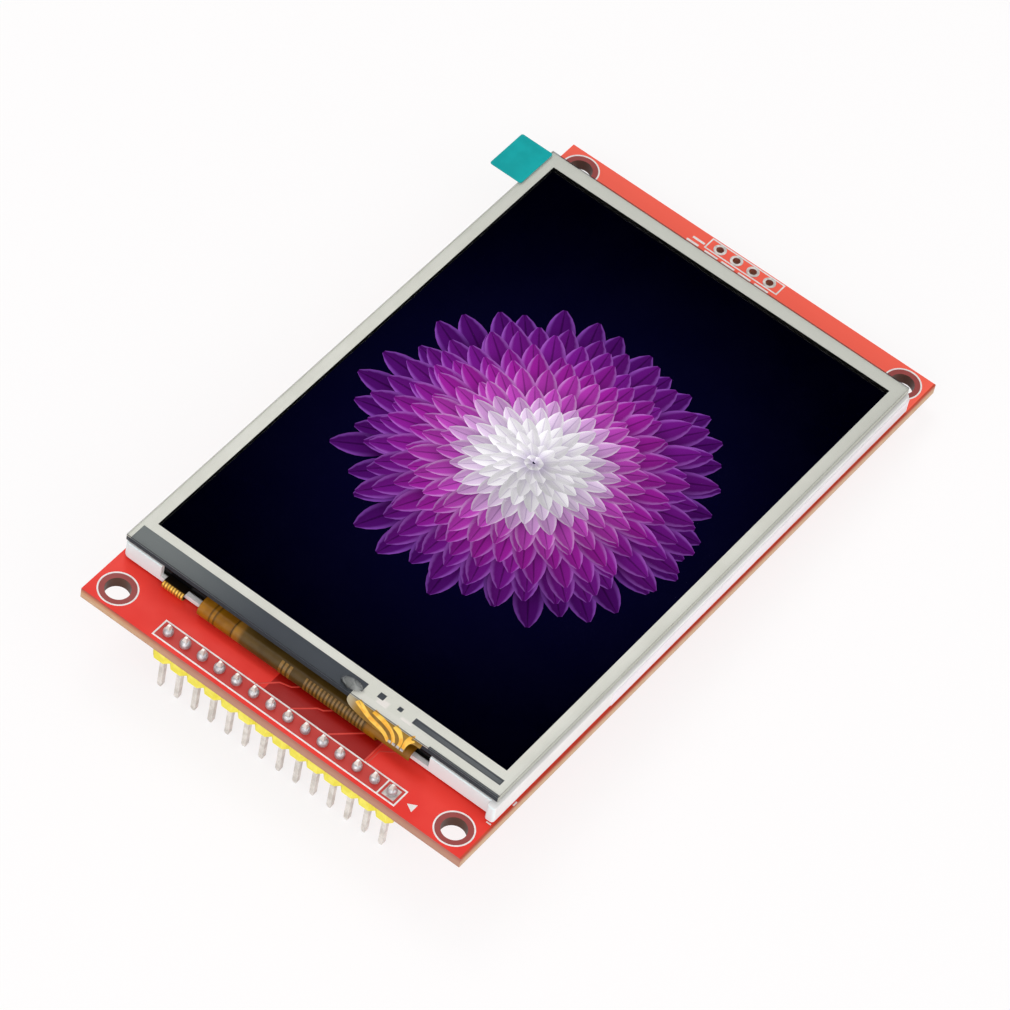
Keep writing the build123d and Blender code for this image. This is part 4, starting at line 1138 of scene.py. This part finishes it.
@dataclass
class PanelDetails:
    """Small things on the touch panel and the frame: glue and the wrapped side."""

    drop: Point = (5.2, -39.6, Level.TOP.value)
    drop_size: Point = (1.7, 0.95, 0.075)
    sunk: float = 0.02
    pinch: float = 0.5
    pinched: Point = (1.06, 0.94, 1)
    corner: float = 0.6
    side_film: tuple = ((27.68, -19.1, 1.95), (27.82, 41.6, 4.2), 0.05)

    def build(self) -> None:
        """Add the laminated top films, the glue over the end of the clear strip and the film on the frame's side."""
        self.films()
        base = mm(*self.drop)
        deselect()
        bpy.ops.mesh.primitive_uv_sphere_add(segments=32, ring_count=16, radius=1, location=base)
        blob = bpy.context.object
        blob.scale = mm(*self.drop_size)
        apply_place()
        under, left = base - mm(0, 0, self.sunk), base - mm(self.pinch, 0, 0)
        with editing():
            bpy.ops.mesh.bisect(plane_co=under, plane_no=(0, 0, 1), clear_inner=True, use_fill=True)
            chosen(lambda vertex: vertex.co.x < left.x)
            bpy.ops.transform.resize(value=self.pinched, center_override=left)
        settle(blob, "glue_drop", Look.GLUE, 60.0)
        settle(slab(*self.side_film), "frame_side_film", Look.WRAP)

    def films(self) -> None:
        """Make the touch film and the protective film as the one bonded sheet that the eye sees."""
        low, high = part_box("touch_film")[0] / MM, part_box("protective_film")[1] / MM
        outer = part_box("touch_film")[1] / MM
        sheet = slab(tuple(low), (outer.x, outer.y, high.z))
        with editing():
            mesh = bmesh.from_edit_mesh(sheet.data)
            for edge in mesh.edges:
                edge.select_set(abs(edge.verts[0].co.z - edge.verts[1].co.z) > 0.1 * MM)
            bmesh.update_edit_mesh(sheet.data)
            bpy.ops.mesh.bevel(offset=self.corner * MM, segments=5)
        piece = settle(sheet, "bonded_films", Look.FILM)
        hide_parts("touch_film", "protective_film")


@dataclass
class RearParts:
    """Pads and solder under the parts of the rear face."""

    relief: float = 0.035
    controller: Flat = (13.5, -14.0)
    lead_pad: Flat = (0.36, 1.2)
    lead_reach: float = 3.0
    package_pad: Flat = (0.8, 0.9)
    chip_pad: Flat = (0.95, 0.75)
    chip_reach: float = 0.85
    chip_pitch: float = 1.9
    chip_rows: tuple = (
        (5.45, -14.0, 4), (0.0, 7.2, 6), (12.0, -37.0, 1), (13.5, -8.0, 3), (-18.0, -32.6, 1), (-14.0, -32.6, 1),
    )

    def spots(self) -> Iterable[tuple[Flat, Flat]]:
        """Yield the middle and the size of every pad, in millimetres."""
        x, y = self.controller
        for index in range(8):
            for side in SIDES:
                yield (x + (index - 3.5) * LEAD_PITCH, y + side * self.lead_reach), self.lead_pad
        for x in (-16.0, 16.0):
            yield (x, -35.95), self.package_pad
            for side in SIDES:
                yield (x + side * 0.95, -38.05), self.package_pad
        for middle, y, count in self.chip_rows:
            for index in range(count):
                for side in SIDES:
                    x = middle + (index - (count - 1) / 2) * self.chip_pitch
                    yield (x, y + side * self.chip_reach), self.chip_pad
        for x in CONTACT_X:
            yield (x, 12.35), (1.1, 1.5)
        for side in SIDES:
            for y in (16.5, 37.0):
                yield (side * 14.65, y), (1.5, 2.2)

    def build(self) -> None:
        """Make the pads of every rear part."""
        parts = [
            slab((x - a / 2, y - b / 2, -self.relief), (x + a / 2, y + b / 2, 0.0), 0.012)
            for (x, y), (a, b) in self.spots()
        ]
        settle(join(parts), "rear_pads", Look.TIN)


@dataclass
class Studio:
    """Floor, lights, world and camera."""

    camera_place: Point = (199.892, -383.707, 530.359)
    right: Point = (0.786954, 0.601871, 0.135846)
    down: Point = (0.543196, -0.571382, -0.615191)
    forward: Point = (-0.292646, 0.557918, -0.776586)
    lens: float = 204.6
    sensor: float = 36.0
    floor_low: Flat = (-46.0, -8.56)
    floor_high: Flat = (40.5, -2.87)
    floor_size: float = 6.0
    floor_share: float = 0.8
    floor_glow: float = 1.02
    world_strength: float = 0.5
    lamps: tuple = (
        ("key", (-0.42, 0.30, 0.80), 0.45, 2.0),
        ("front", (0.12, -0.75, 0.30), 0.8, 3.3),
        ("right", (0.75, -0.05, 0.30), 0.8, 2.2),
    )

    def build(self) -> None:
        """Set the stage."""
        self.floor()
        self.world()
        for name, place, size, power in self.lamps:
            lamp = bpy.data.lights.new(name, "AREA")
            lamp.size = size
            lamp.energy = power
            obj = bpy.data.objects.new(name, lamp)
            bpy.context.collection.objects.link(obj)
            obj.location = place
            obj.rotation_euler = (-Vector(place)).to_track_quat("-Z", "Y").to_euler()
        self.camera()
        bpy.context.scene.view_settings.view_transform = "Standard"

    def floor(self) -> None:
        """Lay a pale floor under the pin tips and the card socket, on which the module rests."""
        deselect()
        slope = math.atan2(self.floor_high[1] - self.floor_low[1], self.floor_high[0] - self.floor_low[0])
        middle = ((self.floor_low[0] + self.floor_high[0]) / 2, (self.floor_low[1] + self.floor_high[1]) / 2)
        bpy.ops.mesh.primitive_plane_add(size=self.floor_size, location=mm(0, *middle), rotation=(slope, 0, 0))
        floor = bpy.context.object
        floor.name = "floor"
        sheet = Sheet("pale_floor")
        share = sheet.add("Math", {0: self.seen(sheet.tree), 1: self.floor_share}, operation="MULTIPLY")
        paint = sheet.add("BsdfDiffuse", {0: "#FBF3F4"})
        glow = sheet.add("Emission", {0: "#FFFFFF", 1: self.floor_glow})
        mixed = sheet.add("MixShader", {0: share, 1: paint, 2: glow})
        sheet.tree.links.new(mixed, sheet.output.inputs[0])
        floor.data.materials.append(sheet.material)

    def world(self) -> None:
        """Light the set from a white dome that shows as white where it is seen."""
        world = bpy.data.worlds.new("studio")
        bpy.context.scene.world = world
        world.use_nodes = True
        tree = world.node_tree
        back = tree.nodes["Background"]
        back.inputs[0].default_value = (1, 1, 1, 1)
        strength = add_node(tree, "MapRange", {0: self.seen(tree), 3: self.world_strength, 4: 1.0})
        tree.links.new(strength, back.inputs[1])

    def seen(self, tree: bpy.types.NodeTree) -> bpy.types.NodeSocket:
        """Return 1 for the rays that the eye follows, straight, mirrored or through clear film, and 0 for others."""
        rays = add_node(tree, "LightPath").node.outputs
        straight = add_node(tree, "Math", {0: rays["Is Camera Ray"], 1: rays["Is Glossy Ray"]}, operation="MAXIMUM")
        return add_node(tree, "Math", {0: straight, 1: rays["Is Transmission Ray"]}, operation="MAXIMUM")

    def camera(self) -> None:
        """Place the camera where the photograph was taken from."""
        data = bpy.data.cameras.new("camera")
        data.lens = self.lens
        data.sensor_width = self.sensor
        data.clip_start = 0.05
        data.clip_end = 20
        camera = bpy.data.objects.new("camera", data)
        bpy.context.collection.objects.link(camera)
        right, up, back = Vector(self.right), -Vector(self.down), -Vector(self.forward)
        turn = Matrix((right, up, back)).transposed().to_4x4()
        camera.matrix_world = Matrix.Translation(mm(*self.camera_place)) @ turn
        bpy.context.scene.camera = camera


def dress_nodes() -> None:
    """Give every CAD node its finish."""
    for look, names in NODE_LOOKS.items():
        for name in names:
            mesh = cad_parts[name].data
            mesh.materials.clear()
            mesh.materials.append(material_of(look))
    bare = sorted(set(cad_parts) - {name for names in NODE_LOOKS.values() for name in names})
    if bare:
        raise ValueError(f"nodes without a finish: {bare}")


def main() -> None:
    """Build the module's looks in order."""
    logging.basicConfig(level=logging.INFO, format="%(message)s")
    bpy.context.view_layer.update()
    dress_nodes()
    for assembly in (Board(), PinHeader(), Screen(), Flexes(), PanelDetails(), RearParts(), Studio()):
        assembly.build()
        log.info("built %s", type(assembly).__name__)


if __name__ == "__main__":
    main()
